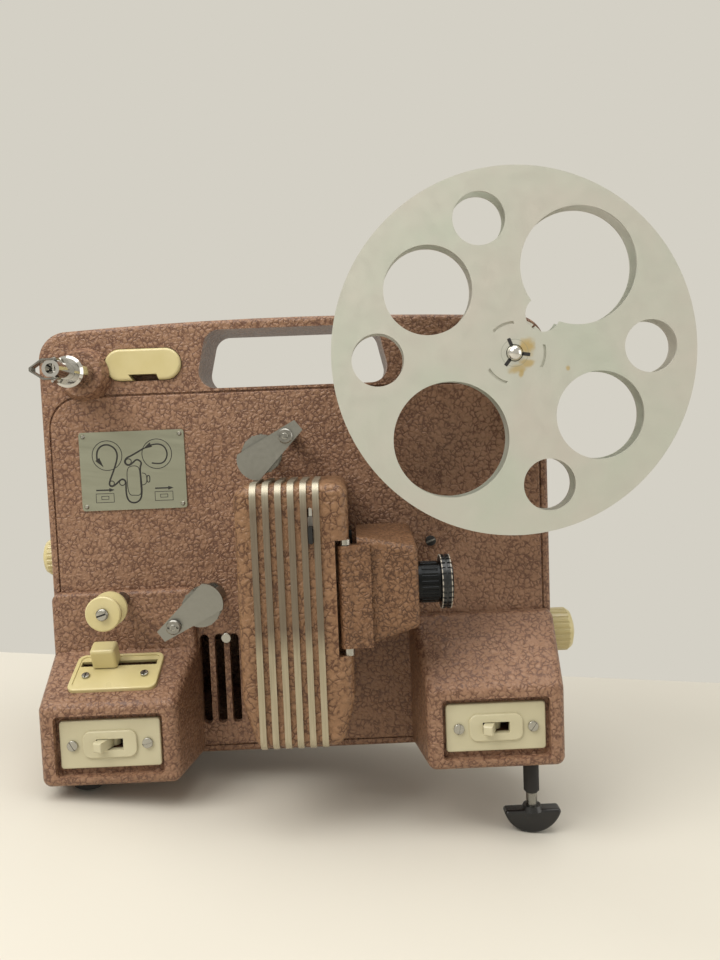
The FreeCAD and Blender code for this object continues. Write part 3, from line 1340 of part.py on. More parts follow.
def inching_knob():
    body = knob(-GAP, KNOB_Y, INCHING_Z, -RIGHT, INCHING_PROUD - GAP, INCHING_R)
    return body.cut(rod(at(1, KNOB_Y, INCHING_Z), -RIGHT, MOTOR_SHAFT_R, 8.0))


def framing_knob():
    x = WIDTH + GAP
    body = knob(x, KNOB_Y, FRAMING_Z, RIGHT, FRAMING_PROUD - GAP, SIDE_KNOB_R)
    shaft = rod(at(x + 1, KNOB_Y, FRAMING_Z), -RIGHT, MOTOR_SHAFT_R, 22)
    cam = rod(at(WIDTH - 20, KNOB_Y + 2.0, FRAMING_Z), RIGHT, 7.0, 4.0)
    return body.fuse(shaft).fuse(cam)


def motor_case():
    case = tube(at(MOTOR_LEFT, KNOB_Y, INCHING_Z), RIGHT, MOTOR_R, MOTOR_SHAFT_R + RUN,
                MOTOR_LENGTH)
    case = round_edges(case, 2.0, lambda e: end_circle(e, MOTOR_R))
    foot = block(MOTOR_LEFT + 8, MOTOR_LEFT + MOTOR_LENGTH - 8, PANEL_STEP + WALL, KNOB_Y,
                 INCHING_Z - 10, INCHING_Z + 10)
    foot = foot.cut(rod(at(MOTOR_LEFT, KNOB_Y, INCHING_Z), RIGHT, MOTOR_R - 2, MOTOR_LENGTH))
    return case.fuse(foot)


def end_circle(edge, radius):
    box = edge.BoundBox
    flat = box.XMax - box.XMin < 0.01
    return flat and abs(box.ZMax - box.ZMin - 2 * radius) < 0.05


def motor_shaft():
    shaft = rod(at(-8.0 + 1.0, KNOB_Y, INCHING_Z), RIGHT, MOTOR_SHAFT_R, PULLEY_X + 12.0)
    pulley = spun([(0, 0), (MOTOR_PULLEY_R, 0), (MOTOR_PULLEY_R - BELT_R, 2.5),
                   (MOTOR_PULLEY_R, 5.0), (0, 5.0)], at(PULLEY_X, KNOB_Y, INCHING_Z), RIGHT)
    return shaft.fuse(pulley)


def cooling_fan():
    # Six flat vanes on a hub beside the motor.
    x = 11.0
    hub = tube(at(x, KNOB_Y, INCHING_Z), RIGHT, 6.0, MOTOR_SHAFT_R, 8.5)
    for i in range(6):
        vane = block(x, x + 8.0, KNOB_Y - 0.6, KNOB_Y + 0.6, INCHING_Z + 5.0, INCHING_Z + 19.0)
        vane.rotate(at(x, KNOB_Y, INCHING_Z), RIGHT, 60.0 * i)
        hub = hub.fuse(vane)
    return hub


CAM_R = 5.0
CAM_THROW = CLAW_STROKE / 2.0
CAM_X = SHUTTER_X + 2.0


def main_shaft():
    # The shutter shaft with its pulley, worm and pull-down cam.
    left = 71.0
    shaft = rod(at(left, MAIN_Y, AXIS_Z), RIGHT, MAIN_SHAFT_R, 89.5)
    worm = spun(worm_profile(), at(79.5, MAIN_Y, AXIS_Z), RIGHT)
    pulley = spun([(0, 0), (MAIN_PULLEY_R, 0), (MAIN_PULLEY_R - BELT_R, 2.5),
                   (MAIN_PULLEY_R, 5.0), (0, 5.0)], at(PULLEY_X, MAIN_Y, AXIS_Z), RIGHT)
    cam = rod(at(CAM_X, MAIN_Y, AXIS_Z + CAM_THROW), RIGHT, CAM_R, 1.4)
    return shaft.fuse(worm).fuse(pulley).fuse(cam)


def worm_profile():
    points = [(0, 0)]
    for i in range(5):
        points.append((WORM_R - 0.25, i * 2.2))
        points.append((WORM_R, i * 2.2 + 1.1))
    points.append((0, 9.9))
    return points


def shutter_disc():
    # Three blades that cut the light while the film moves.
    disc = rod(at(SHUTTER_X, MAIN_Y, AXIS_Z), RIGHT, SHUTTER_R, SHUTTER_T)
    hub = rod(at(SHUTTER_X - 5.0, MAIN_Y, AXIS_Z), RIGHT, 5.5, 5.0 + SHUTTER_T)
    for i in range(3):
        window = wedge(SHUTTER_R + 1, 12.0, 60.0, 120.0 * i)
        disc = disc.cut(window)
    return disc.fuse(hub).cut(rod(at(SHUTTER_X - 6, MAIN_Y, AXIS_Z), RIGHT, MAIN_SHAFT_R, 12))


def wedge(outer, inner, sweep, turn):
    # A ring sector across the shutter, used to cut a window between two blades.
    ring = tube(at(SHUTTER_X - 1, MAIN_Y, AXIS_Z), RIGHT, outer, inner, SHUTTER_T + 2)
    half = math.radians(sweep / 2.0)
    far = 2.0 * outer
    points = [at(SHUTTER_X - 1, MAIN_Y, AXIS_Z),
              at(SHUTTER_X - 1, MAIN_Y + far * math.sin(-half), AXIS_Z + far * math.cos(half)),
              at(SHUTTER_X - 1, MAIN_Y + far * math.sin(half), AXIS_Z + far * math.cos(half))]
    sector = flat_slab(points, at(SHUTTER_T + 2, 0, 0))
    sector.rotate(at(0, MAIN_Y, AXIS_Z), RIGHT, turn + 10.0)
    return ring.common(sector)


def claw_arm():
    # The pull-down claw: a frame round the cam and a blade that reaches the film.
    x0 = CAM_X
    x1 = CAM_X + 1.2
    low = AXIS_Z - CAM_R - CAM_THROW - GAP
    high = AXIS_Z + CAM_R + CAM_THROW + CLAW_STROKE + GAP
    side = CAM_R + CAM_THROW + GAP
    frame = block(x0, x1, MAIN_Y - side - 2, MAIN_Y + side + 2, low - 2, high + 2)
    frame = frame.cut(block(x0 - 1, x1 + 1, MAIN_Y - side, MAIN_Y + side, low, high))
    blade = block(x0, x1, FILM_Y + 3.9, MAIN_Y - side - 1, AXIS_Z - 12.5, AXIS_Z - 8.5)
    riser = block(x0, x1, MAIN_Y - side - 2, MAIN_Y - side, AXIS_Z - 12.5, AXIS_Z)
    tooth = block(x1 - 0.2, LAMP_COVER_RIGHT + GATE_T, FILM_Y + 3.9, FILM_Y + 5.1,
                  AXIS_Z - 12.0, AXIS_Z - 10.8)
    return frame.fuse(blade).fuse(riser).fuse(tooth)


def claw_guide():
    # The rail behind the claw's frame that it slides up and down on.
    x0 = CAM_X + 1.2 + GAP
    rail = block(x0, x0 + 2.0, MAIN_Y + 7.2, MAIN_Y + 10.0, AXIS_Z - 18, AXIS_Z + 22)
    arm = block(x0, x0 + 2.0, PANEL_STEP + WALL, MAIN_Y + 10.0, AXIS_Z + 18.5, AXIS_Z + 22)
    return rail.fuse(arm)


def shaft_brackets():
    # Three ears behind the panel that carry the main shaft.
    ears = []
    for x in (72.0, 110.0, 157.0):
        width = 2.4
        ear = block(x, x + width, PANEL_STEP + WALL, MAIN_Y + 5.0, AXIS_Z - 5, AXIS_Z + 5)
        ear = ear.cut(rod(at(x - 1, MAIN_Y, AXIS_Z), RIGHT, MAIN_SHAFT_R + RUN, width + 2))
        ears.append(ear)
    return Part.makeCompound(ears)


def belt_loop(ax, az, ar, bx, bz, br, thick):
    # A flat closed loop round two pulleys, outline minus inside, in any plane of (a, b).
    outer = two_circle_face(ax, az, ar + thick, bx, bz, br + thick)
    inner = two_circle_face(ax, az, ar, bx, bz, br)
    return outer.cut(inner)


def two_circle_face(ax, az, ar, bx, bz, br):
    centre_a = at(ax, 0, az)
    centre_b = at(bx, 0, bz)
    along = centre_b - centre_a
    distance = along.Length
    along.normalize()
    across = at(-along.z, 0, along.x)
    lean = math.asin((ar - br) / distance)
    up = along * math.sin(lean) + across * math.cos(lean)
    down = along * math.sin(lean) - across * math.cos(lean)
    a_up = centre_a + up * ar
    b_up = centre_b + up * br
    a_down = centre_a + down * ar
    b_down = centre_b + down * br
    edges = [Part.LineSegment(a_up, b_up).toShape(),
             Part.Arc(b_up, centre_b + along * br, b_down).toShape(),
             Part.LineSegment(b_down, a_down).toShape(),
             Part.Arc(a_down, centre_a - along * ar, a_up).toShape()]
    return Part.Face(Part.Wire(edges))


def takeup_belt():
    face = belt_loop(UPPER_SPROCKET_X, UPPER_SPROCKET_Z, 8.0 + GAP, SPINDLE_INSET, SPINDLE_Z,
                     TAKEUP_PULLEY_R + GAP, 1.6)
    loop = face.extrude(at(0, 2.4, 0))
    loop.translate(at(0, SPINDLE_REAR - PULLEY_W / 2 - 1.2, 0))
    return loop


def sprocket_chain():
    face = belt_loop(UPPER_SPROCKET_X, UPPER_SPROCKET_Z, CHAIN_WHEEL_R + GAP,
                     LOWER_SPROCKET_X, LOWER_SPROCKET_Z, CHAIN_WHEEL_R + GAP, 1.4)
    loop = face.extrude(at(0, 3.0, 0))
    loop.translate(at(0, CHAIN_FRONT + 0.5, 0))
    return loop


def drive_belt():
    # Drawn in the plane of the panel, then turned to lie across the two shafts.
    face = belt_loop(MAIN_Y, AXIS_Z, MAIN_PULLEY_R + GAP, KNOB_Y, INCHING_Z,
                     MOTOR_PULLEY_R + GAP, 1.4)
    loop = face.extrude(at(0, 2.4, 0))
    loop.rotate(at(0, 0, 0), UP, 90)
    loop.translate(at(PULLEY_X + 2.5 + 1.2, 0, 0))
    return loop


def rubber_feet():
    feet = []
    cylinder = RUBBER_DROP - RUBBER_DOME
    ball = (RUBBER_R ** 2 + RUBBER_DOME ** 2) / (2 * RUBBER_DOME)
    for y in (FRONT_FOOT_Y, REAR_FOOT_Y):
        stem = rod(at(FOOT_X, y, -cylinder), UP, RUBBER_R, cylinder + foot_seat(y))
        stem = stem.cut(control_block(0, BLOCK_W, LEFT_BLOCK_TOP, 0))
        dome = Part.makeSphere(ball, at(FOOT_X, y, -RUBBER_DROP + ball))
        dome = dome.common(rod(at(FOOT_X, y, -RUBBER_DROP - 1), UP, RUBBER_R,
                               RUBBER_DOME + 1))
        feet.append(stem.fuse(dome))
    return Part.makeCompound(feet)


def foot_seat(y):
    # How far a foot reaches up: the front one meets the block's rising floor.
    return BLOCK_FLOOR_RISE if y < 0 else 0.0


def foot_sleeve():
    # The threaded sleeve that hangs below the right block.
    high = SLEEVE_TOP - SLEEVE_BOTTOM
    return spun([(FOOT_ROD_R + RUN, 0), (SLEEVE_R - 0.8, 0), (SLEEVE_R, 1.0), (SLEEVE_R, high),
                 (FOOT_ROD_R + RUN, high)], at(SCREW_FOOT_X, FRONT_FOOT_Y, SLEEVE_BOTTOM), UP)


def grip_centre_z():
    return -GRIP_DROP + GRIP_R


def foot_screw():
    bottom = grip_centre_z() - GRIP_FLAT - 2.0
    return rod(at(SCREW_FOOT_X, FRONT_FOOT_Y, bottom), UP, FOOT_ROD_R, SLEEVE_TOP + 4.0 - bottom)


def foot_grip():
    # A half-moon thumb piece with a collar, which stands on its round edge.
    y = FRONT_FOOT_Y
    z = grip_centre_z()
    disc = rod(at(SCREW_FOOT_X, y - GRIP_T / 2, z), BACK, GRIP_R, GRIP_T)
    disc = disc.common(block(SCREW_FOOT_X - GRIP_R, SCREW_FOOT_X + GRIP_R, y - GRIP_T,
                             y + GRIP_T, z - GRIP_R - 1, z - GRIP_FLAT))
    disc = round_edges(disc, 1.6, lambda e: e.BoundBox.ZMax < z - GRIP_FLAT + 0.5
                       or abs(e.BoundBox.XMax - e.BoundBox.XMin) > GRIP_R)
    collar = Part.makeCone(5.6, 4.4, 2.6, at(SCREW_FOOT_X, y, z - GRIP_FLAT - 1.0), UP)
    grip = disc.fuse(collar)
    return grip.cut(rod(at(SCREW_FOOT_X, y, z - GRIP_FLAT - 2.0), UP, FOOT_ROD_R + RUN, 20))


def table_tilt():
    # The slope of the plane that touches the rubber domes and the thumb pieces.
    ball = (RUBBER_R ** 2 + RUBBER_DOME ** 2) / (2 * RUBBER_DOME)
    run = SCREW_FOOT_X - FOOT_X
    rise = grip_centre_z() - (-RUBBER_DROP + ball)
    line = math.atan2(rise, run)
    return line - math.asin((GRIP_R - ball) / math.hypot(run, rise))


def make_pieces():
    pieces = {
        "front_housing": front_housing(),
        "rear_cover": rear_cover(),
        "cover_screws": cover_screws(),
        "mains_inlet": mains_inlet(),
        "lamp_cover": lamp_cover(),
        "lamp_cover_ribs": lamp_cover_ribs(),
        "cover_latch": cover_latch(),
        "gate_plate": gate_plate(),
        "door_pin": door_pin(),
        "lens_door": lens_door(),
        "pressure_plate": pressure_plate(),
        "lens_barrel": lens_barrel(),
        "focus_ring": focus_ring(),
        "lens_glasses": lens_glasses(),
        "lamp_bulb": lamp_bulb(),
        "lamp_socket": lamp_socket(),
        "light_holders": Part.makeCompound([lamp_reflector(), condenser_holder()]),
        "condenser_lens": condenser_lens(),
        "label_plate": label_plate(),
        "panel_fasteners": Part.makeCompound([label_rivets(), panel_screws()]),
        "spindle_collars": spindle_collars(),
        "feed_spindle": feed_spindle(),
        "reel_front_flange": reel_flange(REEL_FRONT),
        "reel_rear_flange": reel_flange(REEL_BACK - FLANGE_T),
        "reel_core": reel_core(),
        "takeup_spindle": takeup_spindle(),
        "spindle_catch": spindle_catch(),
        "sprocket_bushes": sprocket_bushes(),
        "upper_sprocket": upper_sprocket(),
        "lower_sprocket": lower_sprocket(),
        "upper_keeper": upper_keeper(),
        "lower_keeper": lower_keeper(),
        "film_posts": Part.makeCompound([keeper_posts(), roller_post()]),
        "guide_roller": guide_roller(),
        "speed_plate": speed_plate(),
        "speed_slider": speed_slider(),
        "speed_resistor": speed_resistor(),
        "motor_switch_plate": switch_plate(left_block_mid()),
        "lamp_switch_plate": switch_plate(right_block_mid()),
        "motor_switch_toggle": toggle(left_block_mid()),
        "lamp_switch_toggle": toggle(right_block_mid()),
        "motor_switch_body": switch_body(left_block_mid()),
        "lamp_switch_body": switch_body(right_block_mid()),
        "control_screws": control_screws(),
        "left_oval_key": oval_key(OVAL_X),
        "right_oval_key": oval_key(WIDTH - OVAL_X),
        "inching_knob": inching_knob(),
        "framing_knob": framing_knob(),
        "motor_case": motor_case(),
        "motor_shaft": motor_shaft(),
        "cooling_fan": cooling_fan(),
        "main_shaft": main_shaft(),
        "shutter_disc": shutter_disc(),
        "claw_arm": claw_arm(),
        "shaft_brackets": Part.makeCompound([shaft_brackets(), claw_guide()]),
        "drive_belts": Part.makeCompound([drive_belt(), takeup_belt(), sprocket_chain()]),
        "rubber_feet": rubber_feet(),
        "foot_sleeve": foot_sleeve(),
        "foot_screw": foot_screw(),
        "foot_grip": foot_grip(),
    }
    return pieces


def stand_up(pieces):
    # Leans the machine back until its feet lie in one level plane, with the origin on
    # that plane under the middle of the whole object.
    turn = FreeCAD.Rotation(BACK, math.degrees(table_tilt()))
    lean = FreeCAD.Placement(at(0, 0, 0), turn)
    for shape in pieces.values():
        shape.Placement = lean.multiply(shape.Placement)
    box = Part.makeCompound(list(pieces.values())).optimalBoundingBox()
    shift = at(-(box.XMin + box.XMax) / 2, -(box.YMin + box.YMax) / 2, -box.ZMin)
    for shape in pieces.values():
        shape.translate(shift)
    return FreeCAD.Placement(shift, turn)


def main():
    pieces = make_pieces()
    frame = stand_up(pieces)
    os.makedirs("parts", exist_ok=True)
    for name, shape in pieces.items():
        shape.exportStep("parts/" + name + ".step")
    print("nodes", len(pieces), "tilt", round(math.degrees(table_tilt()), 3))
    return pieces, frame


if __name__ == "__main__":
    main()
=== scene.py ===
# %% [markdown]
# # A movie projector for narrow film
# The machine is an upright casting in brown hammer finish, with a reel, a ribbed lamp house and a
# lens door on its face. Its solids come from the CAD frame, so this lesson is about finishes, small
# parts and light. The frame is loaded first.

# %% Load the frame
import json
import math

import bmesh
import bpy
from mathutils import Matrix, Vector


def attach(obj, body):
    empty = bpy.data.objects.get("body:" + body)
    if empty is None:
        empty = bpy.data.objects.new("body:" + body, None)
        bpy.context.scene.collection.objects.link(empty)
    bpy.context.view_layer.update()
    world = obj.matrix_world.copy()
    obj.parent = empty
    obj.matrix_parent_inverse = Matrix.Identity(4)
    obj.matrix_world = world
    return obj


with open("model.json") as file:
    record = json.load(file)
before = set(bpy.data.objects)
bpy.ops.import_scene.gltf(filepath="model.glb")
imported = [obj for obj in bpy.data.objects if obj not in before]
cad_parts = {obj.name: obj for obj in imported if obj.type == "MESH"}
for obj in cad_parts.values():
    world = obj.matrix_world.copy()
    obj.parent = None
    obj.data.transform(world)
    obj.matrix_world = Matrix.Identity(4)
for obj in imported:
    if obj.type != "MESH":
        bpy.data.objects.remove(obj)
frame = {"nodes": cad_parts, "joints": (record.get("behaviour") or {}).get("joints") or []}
bpy.ops.object.select_all(action="DESELECT")
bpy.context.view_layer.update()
nodes = frame["nodes"]

# %% [markdown]
# The machine leans on its screw foot, so nothing on it is level. It is easier to place
# small parts in its own measure: millimetres along the panel, into it, and up it. The
# hinge of the door gives the turn between the two measures, and the middle of the reel,
# which is known in both, gives the shift.

# %% The machine's own measure
joints = {joint["name"]: joint for joint in frame["joints"]}
door_axis = Vector(joints["door_swing"]["axis"])
lean = math.atan2(door_axis.x, -door_axis.z)
reel_centre = Vector(joints["feed_spin"]["pos_m"])
REEL_SPOT = Vector((238.0, -31.4, 202.2))
turn = Matrix.Rotation(-lean, 4, "Y")
to_mm = Matrix.Diagonal((0.001, 0.001, 0.001, 1.0))
to_row = Matrix.Translation(reel_centre - turn @ (REEL_SPOT * 0.001)) @ turn


def spot(x, y, z):
    return to_row @ Vector((x * 0.001, y * 0.001, z * 0.001))


def heading(x, y, z):
    return (turn.to_3x3() @ Vector((x, y, z))).normalized()


print("lean in degrees", round(math.degrees(lean), 2))

# %% [markdown]
# The photograph was taken from a little left of the lens, level with the lamp house and
# rolled a few degrees against the table. A camera is a place and three directions, and
# both were worked out from the edges of the panel and the circle of the reel.

# %% The camera
camera_right = heading(0.999141, -0.015278, -0.038533)
camera_down = heading(-0.039488, -0.068134, -0.996894)
camera_ahead = heading(0.012605, 0.997559, -0.068678)
CAMERA_SPOT = (158.1, -415.3, 171.2)
FOCAL_LENGTH = 30.0
PHOTO_WIDTH = 720.0
PHOTO_HEIGHT = 960.0
camera_place = spot(*CAMERA_SPOT)
camera_data = bpy.data.cameras.new("camera")
camera = bpy.data.objects.new("camera", camera_data)
bpy.context.scene.collection.objects.link(camera)
camera_turn = Matrix((camera_right, -camera_down, -camera_ahead)).transposed()
camera.matrix_world = Matrix.Translation(camera_place) @ camera_turn.to_4x4()
camera_data.sensor_width = 36.0
camera_data.lens = FOCAL_LENGTH
camera_data.clip_start = 0.01
camera_data.clip_end = 20.0
bpy.context.scene.camera = camera
print("camera at", [round(v, 3) for v in camera.location])

# %% [markdown]
# A finish is a small graph of nodes. Every graph here starts from Object coordinates, so
# that a pattern stays fixed to its piece, and ends in one Principled shader. The helpers
# save repeating the same lines: they open a finish, add a node with its values, join two
# sockets, and do the small sums that the patterns share.

# %% Helpers for finishes
def open_finish(name, roughness=0.5, metallic=0.0):
    finish = bpy.data.materials.new(name)
    finish.use_nodes = True
    graph = finish.node_tree
    shader = graph.nodes["Principled BSDF"]
    shader.inputs["Roughness"].default_value = roughness
    shader.inputs["Metallic"].default_value = metallic
    place = graph.nodes.new("ShaderNodeTexCoord")
    return finish, graph, shader, place.outputs["Object"]


def add_node(graph, kind, **values):
    node = graph.nodes.new("ShaderNode" + kind)
    for key, value in values.items():
        socket = key.replace("_", " ")
        if socket in node.inputs:
            node.inputs[socket].default_value = value
        else:
            setattr(node, key, value)
    return node


def join(graph, source, target):
    graph.links.new(source, target)


def noise_on(graph, place, **values):
    noise = add_node(graph, "TexNoise", **values)
    join(graph, place, noise.inputs["Vector"])
    return noise


def machine_place(graph, place, x, y, z):
    # Object coordinates turned into the machine's millimetres, counted from one spot.
    mapping = graph.nodes.new("ShaderNodeMapping")
    mapping.vector_type = "TEXTURE"
    mapping.inputs["Location"].default_value = spot(x, y, z)
    mapping.inputs["Rotation"].default_value = turn.to_euler()
    mapping.inputs["Scale"].default_value = (0.001, 0.001, 0.001)
    join(graph, place, mapping.inputs["Vector"])
    return mapping.outputs["Vector"]


def reach(graph, value, low, high, soft=True):
    # Turns a value into 0 at low and 1 at high, whichever of the two is larger.
    node = add_node(graph, "MapRange", From_Min=low, From_Max=high)
    if soft:
        node.interpolation_type = "SMOOTHSTEP"
    join(graph, value, node.inputs["Value"])
    return node.outputs["Result"]


def times(graph, first, second):
    node = add_node(graph, "Math", operation="MULTIPLY")
    join(graph, first, node.inputs[0])
    if isinstance(second, float):
        node.inputs[1].default_value = second
    else:
        join(graph, second, node.inputs[1])
    return node.outputs["Value"]


def lay_over(graph, under, colour, amount):
    node = graph.nodes.new("ShaderNodeMixRGB")
    join(graph, amount, node.inputs["Fac"])
    join(graph, under, node.inputs["Color1"])
    if isinstance(colour, tuple):
        node.inputs["Color2"].default_value = (*colour, 1.0)
    else:
        join(graph, colour, node.inputs["Color2"])
    return node.outputs["Color"]


def colour_steps(graph, factor, steps):
    ramp = graph.nodes.new("ShaderNodeValToRGB")
    bar = ramp.color_ramp
    while len(bar.elements) < len(steps):
        bar.elements.new(0.5)
    for element, (place, colour) in zip(bar.elements, steps):
        element.position = place
        element.color = (*colour, 1.0)
    join(graph, factor, ramp.inputs["Fac"])
    return ramp.outputs["Color"]


def add_bump(graph, shader, height, strength, distance):
    bump = add_node(graph, "Bump", Strength=strength, Distance=distance)
    join(graph, height, bump.inputs["Height"])
    join(graph, bump.outputs["Normal"], shader.inputs["Normal"])


def srgb(red, green, blue):
    # The colour that shows as these 0 to 255 values on a screen.
    out = []
    for value in (red, green, blue):
        value = value / 255.0
        out.append(value / 12.92 if value <= 0.04045 else ((value + 0.055) / 1.055) ** 2.4)
    return tuple(out)

# %% [markdown]
# Hammer finish is a lacquer with metal powder that pulls apart while it dries. It leaves
# islands of nearly one brown with thin dark lines between them, and the lines break off
# here and there. Voronoi cells that noise has bent give the islands, a second noise breaks
# the lines, and the distance to the cell's edge also lifts the islands a little.

# %% Hammer finish
def hammer_finish(name, cell_mm, ground, patch, island, line, line_share, broken, lift):
    finish, graph, shader, place = open_finish(name, roughness=0.36)
    scale = 1000.0 / cell_mm
    wander = noise_on(graph, place, Scale=scale * 0.8, Detail=3.0, Roughness=0.6)
    shift = add_node(graph, "VectorMath", operation="MULTIPLY_ADD")
    join(graph, wander.outputs["Color"], shift.inputs[0])
    shift.inputs[1].default_value = (1.5 / scale,) * 3
    join(graph, place, shift.inputs[2])
    cells = add_node(graph, "TexVoronoi", feature="DISTANCE_TO_EDGE", Scale=scale)
    join(graph, shift.outputs["Vector"], cells.inputs["Vector"])
    edge = cells.outputs["Distance"]
    breaks = noise_on(graph, place, Scale=scale * 0.8, Detail=2.0)
    lines = times(graph, reach(graph, edge, line_share, 0.0),
                  reach(graph, breaks.outputs["Fac"], broken, broken + 0.22))
    cloud = noise_on(graph, place, Scale=35.0, Detail=4.0)
    paint = colour_steps(graph, cloud.outputs["Fac"], [(0.35, ground), (0.65, patch)])
    raised = reach(graph, edge, 0.12, 0.5)
    paint = lay_over(graph, paint, island, times(graph, raised, 0.4))
    paint = lay_over(graph, paint, line, lines)
    join(graph, paint, shader.inputs["Base Color"])
    add_bump(graph, shader, reach(graph, edge, 0.0, 0.4), lift, 0.0004)
    shader.inputs["Specular IOR Level"].default_value = 0.3
    return finish


panel_paint = hammer_finish("panel_paint", 2.6, srgb(143, 109, 85), srgb(151, 117, 93),
                            srgb(165, 131, 107), srgb(98, 69, 55), 0.19, 0.34, 0.8)
cover_lacquer = hammer_finish("cover_lacquer", 3.4, srgb(131, 98, 71), srgb(140, 106, 77),
                              srgb(154, 120, 91), srgb(82, 54, 38), 0.15, 0.36, 0.9)
door_lacquer = hammer_finish("door_lacquer", 2.3, srgb(122, 89, 63), srgb(130, 96, 69),
                             srgb(149, 115, 86), srgb(76, 52, 37), 0.18, 0.32, 0.8)
print("paints", panel_paint.name, cover_lacquer.name, door_lacquer.name)

# %% [markdown]
# The metals differ in how they were worked. The reel is pressed and dull with fine
# scuffs, the ribs are satin along their length, the spindle shoulders are polished, and
# the keeper arms are smooth castings. Each gets its grain from noise that is stretched the
# way the tool ran.

# %% Metals
EVEN = (1.0, 1.0, 1.0)
ALONG_X = (0.06, 1.0, 1.0)


def worked_metal(name, colour, roughness, grain, stretch, spread, marks=0.0):
    finish, graph, shader, place = open_finish(name, roughness=roughness, metallic=1.0)
    mapping = add_node(graph, "Mapping")
    mapping.inputs["Scale"].default_value = stretch
    mapping.inputs["Rotation"].default_value = (0.0, lean, 0.0)
    join(graph, place, mapping.inputs["Vector"])
    noise = noise_on(graph, mapping.outputs["Vector"], Scale=grain, Detail=4.0, Roughness=0.6)
    low = tuple(max(c * (1.0 - spread), 0.0) for c in colour)
    high = tuple(min(c * (1.0 + spread), 1.0) for c in colour)
    tint = colour_steps(graph, noise.outputs["Fac"], [(0.3, low), (0.7, high)])
    join(graph, tint, shader.inputs["Base Color"])
    rough = add_node(graph, "MapRange", From_Min=0.3, From_Max=0.7,
                     To_Min=max(roughness - 0.08, 0.02), To_Max=roughness + 0.08)
    join(graph, noise.outputs["Fac"], rough.inputs["Value"])
    join(graph, rough.outputs["Result"], shader.inputs["Roughness"])
    if marks > 0:
        add_bump(graph, shader, noise.outputs["Fac"], marks, 0.0001)
    return finish


polished = worked_metal("polished", srgb(205, 203, 198), 0.12, 120.0, EVEN, 0.04)
turned_steel = worked_metal("turned_steel", srgb(140, 138, 132), 0.3, 400.0, EVEN, 0.1)
smooth_casting = worked_metal("smooth_casting", srgb(144, 143, 136), 0.4, 500.0, EVEN, 0.05, 0.08)
plated_screw = worked_metal("plated_screw", srgb(168, 166, 158), 0.25, 300.0, EVEN, 0.06)
label_sheet = worked_metal("label_sheet", srgb(153, 154, 137), 0.45, 500.0, ALONG_X, 0.04, 0.04)
brass_metal = worked_metal("brass_metal", srgb(196, 160, 92), 0.35, 300.0, EVEN, 0.08)
dark_anodised = worked_metal("dark_anodised", srgb(38, 39, 40), 0.3, 300.0, EVEN, 0.1)
print("metals", 7)

# %% [markdown]
# The reel is dull pressed aluminium. It has hardly any grain, but years of use have left
# faint warm and cool patches, and oil has dried to brown stains beside the hub. The
# stains are placed in the machine's millimetres, and noise frays their edges. Each one is
# given by its middle from the hub, its half width and half height, and its strength.

# %% Reel metal
OIL_STAINS = ((5.8, 3.4, 4.0, 4.6, 0.9),
              (5.4, -4.6, 4.2, 3.0, 0.8),
              (0.6, -7.4, 4.8, 2.6, 0.75),
              (2.6, -10.0, 1.4, 2.6, 0.8),
              (24.9, -7.8, 1.2, 1.5, 0.75))


def flat_from(graph, vector, shares):
    node = add_node(graph, "VectorMath", operation="MULTIPLY")
    node.inputs[1].default_value = shares
    join(graph, vector, node.inputs[0])
    return node.outputs["Vector"]


def stain(graph, place, frayed, x, z, wide, tall):
    # Full at the middle of the stain and nothing outside it.
    shaped = flat_from(graph, machine_place(graph, place, x, 0.0, z), (1.0 / wide, 0.0, 1.0 / tall))
    bent = add_node(graph, "VectorMath", operation="ADD")
    join(graph, shaped, bent.inputs[0])
    join(graph, frayed, bent.inputs[1])
    away = add_node(graph, "VectorMath", operation="LENGTH")
    join(graph, bent.outputs["Vector"], away.inputs[0])
    return reach(graph, away.outputs["Value"], 1.1, 0.4)


def reel_finish():
    finish, graph, shader, place = open_finish("dull_sheet", roughness=0.5, metallic=0.7)
    slow = noise_on(graph, place, Scale=22.0, Detail=4.0)
    colour = colour_steps(graph, slow.outputs["Fac"],
                          [(0.36, srgb(194, 198, 185)), (0.5, srgb(198, 198, 187)),
                           (0.64, srgb(201, 197, 187))])
    fine = noise_on(graph, place, Scale=170.0, Detail=3.0)
    centred = add_node(graph, "VectorMath", operation="MULTIPLY_ADD")
    join(graph, fine.outputs["Color"], centred.inputs[0])
    centred.inputs[1].default_value = (1.6, 0.0, 1.6)
    centred.inputs[2].default_value = (-0.8, 0.0, -0.8)
    for x, z, wide, tall, amount in OIL_STAINS:
        mark = stain(graph, place, centred.outputs["Vector"], REEL_SPOT.x + x, REEL_SPOT.z + z,
                     wide, tall)
        colour = lay_over(graph, colour, srgb(188, 164, 108), times(graph, mark, amount))
    # A thin darker ring round the hub is painted shade in the pressed groove there.
    hub = add_node(graph, "VectorMath", operation="LENGTH")
    from_hub = machine_place(graph, place, *REEL_SPOT)
    join(graph, flat_from(graph, from_hub, (1.0, 0.0, 1.0)), hub.inputs[0])
    inner = reach(graph, hub.outputs["Value"], 6.15, 6.4)
    outer = reach(graph, hub.outputs["Value"], 6.65, 6.4)
    groove_shade = times(graph, times(graph, inner, outer), 0.6)
    colour = lay_over(graph, colour, srgb(140, 142, 130), groove_shade)
    join(graph, colour, shader.inputs["Base Color"])
    dull = reach(graph, fine.outputs["Fac"], 0.2, 0.8)
    rough = add_node(graph, "Math", operation="MULTIPLY_ADD")
    rough.inputs[1].default_value = 0.12
    rough.inputs[2].default_value = 0.45
    join(graph, dull, rough.inputs[0])
    join(graph, rough.outputs["Value"], shader.inputs["Roughness"])
    return finish


dull_sheet = reel_finish()
print("reel metal", dull_sheet.name)
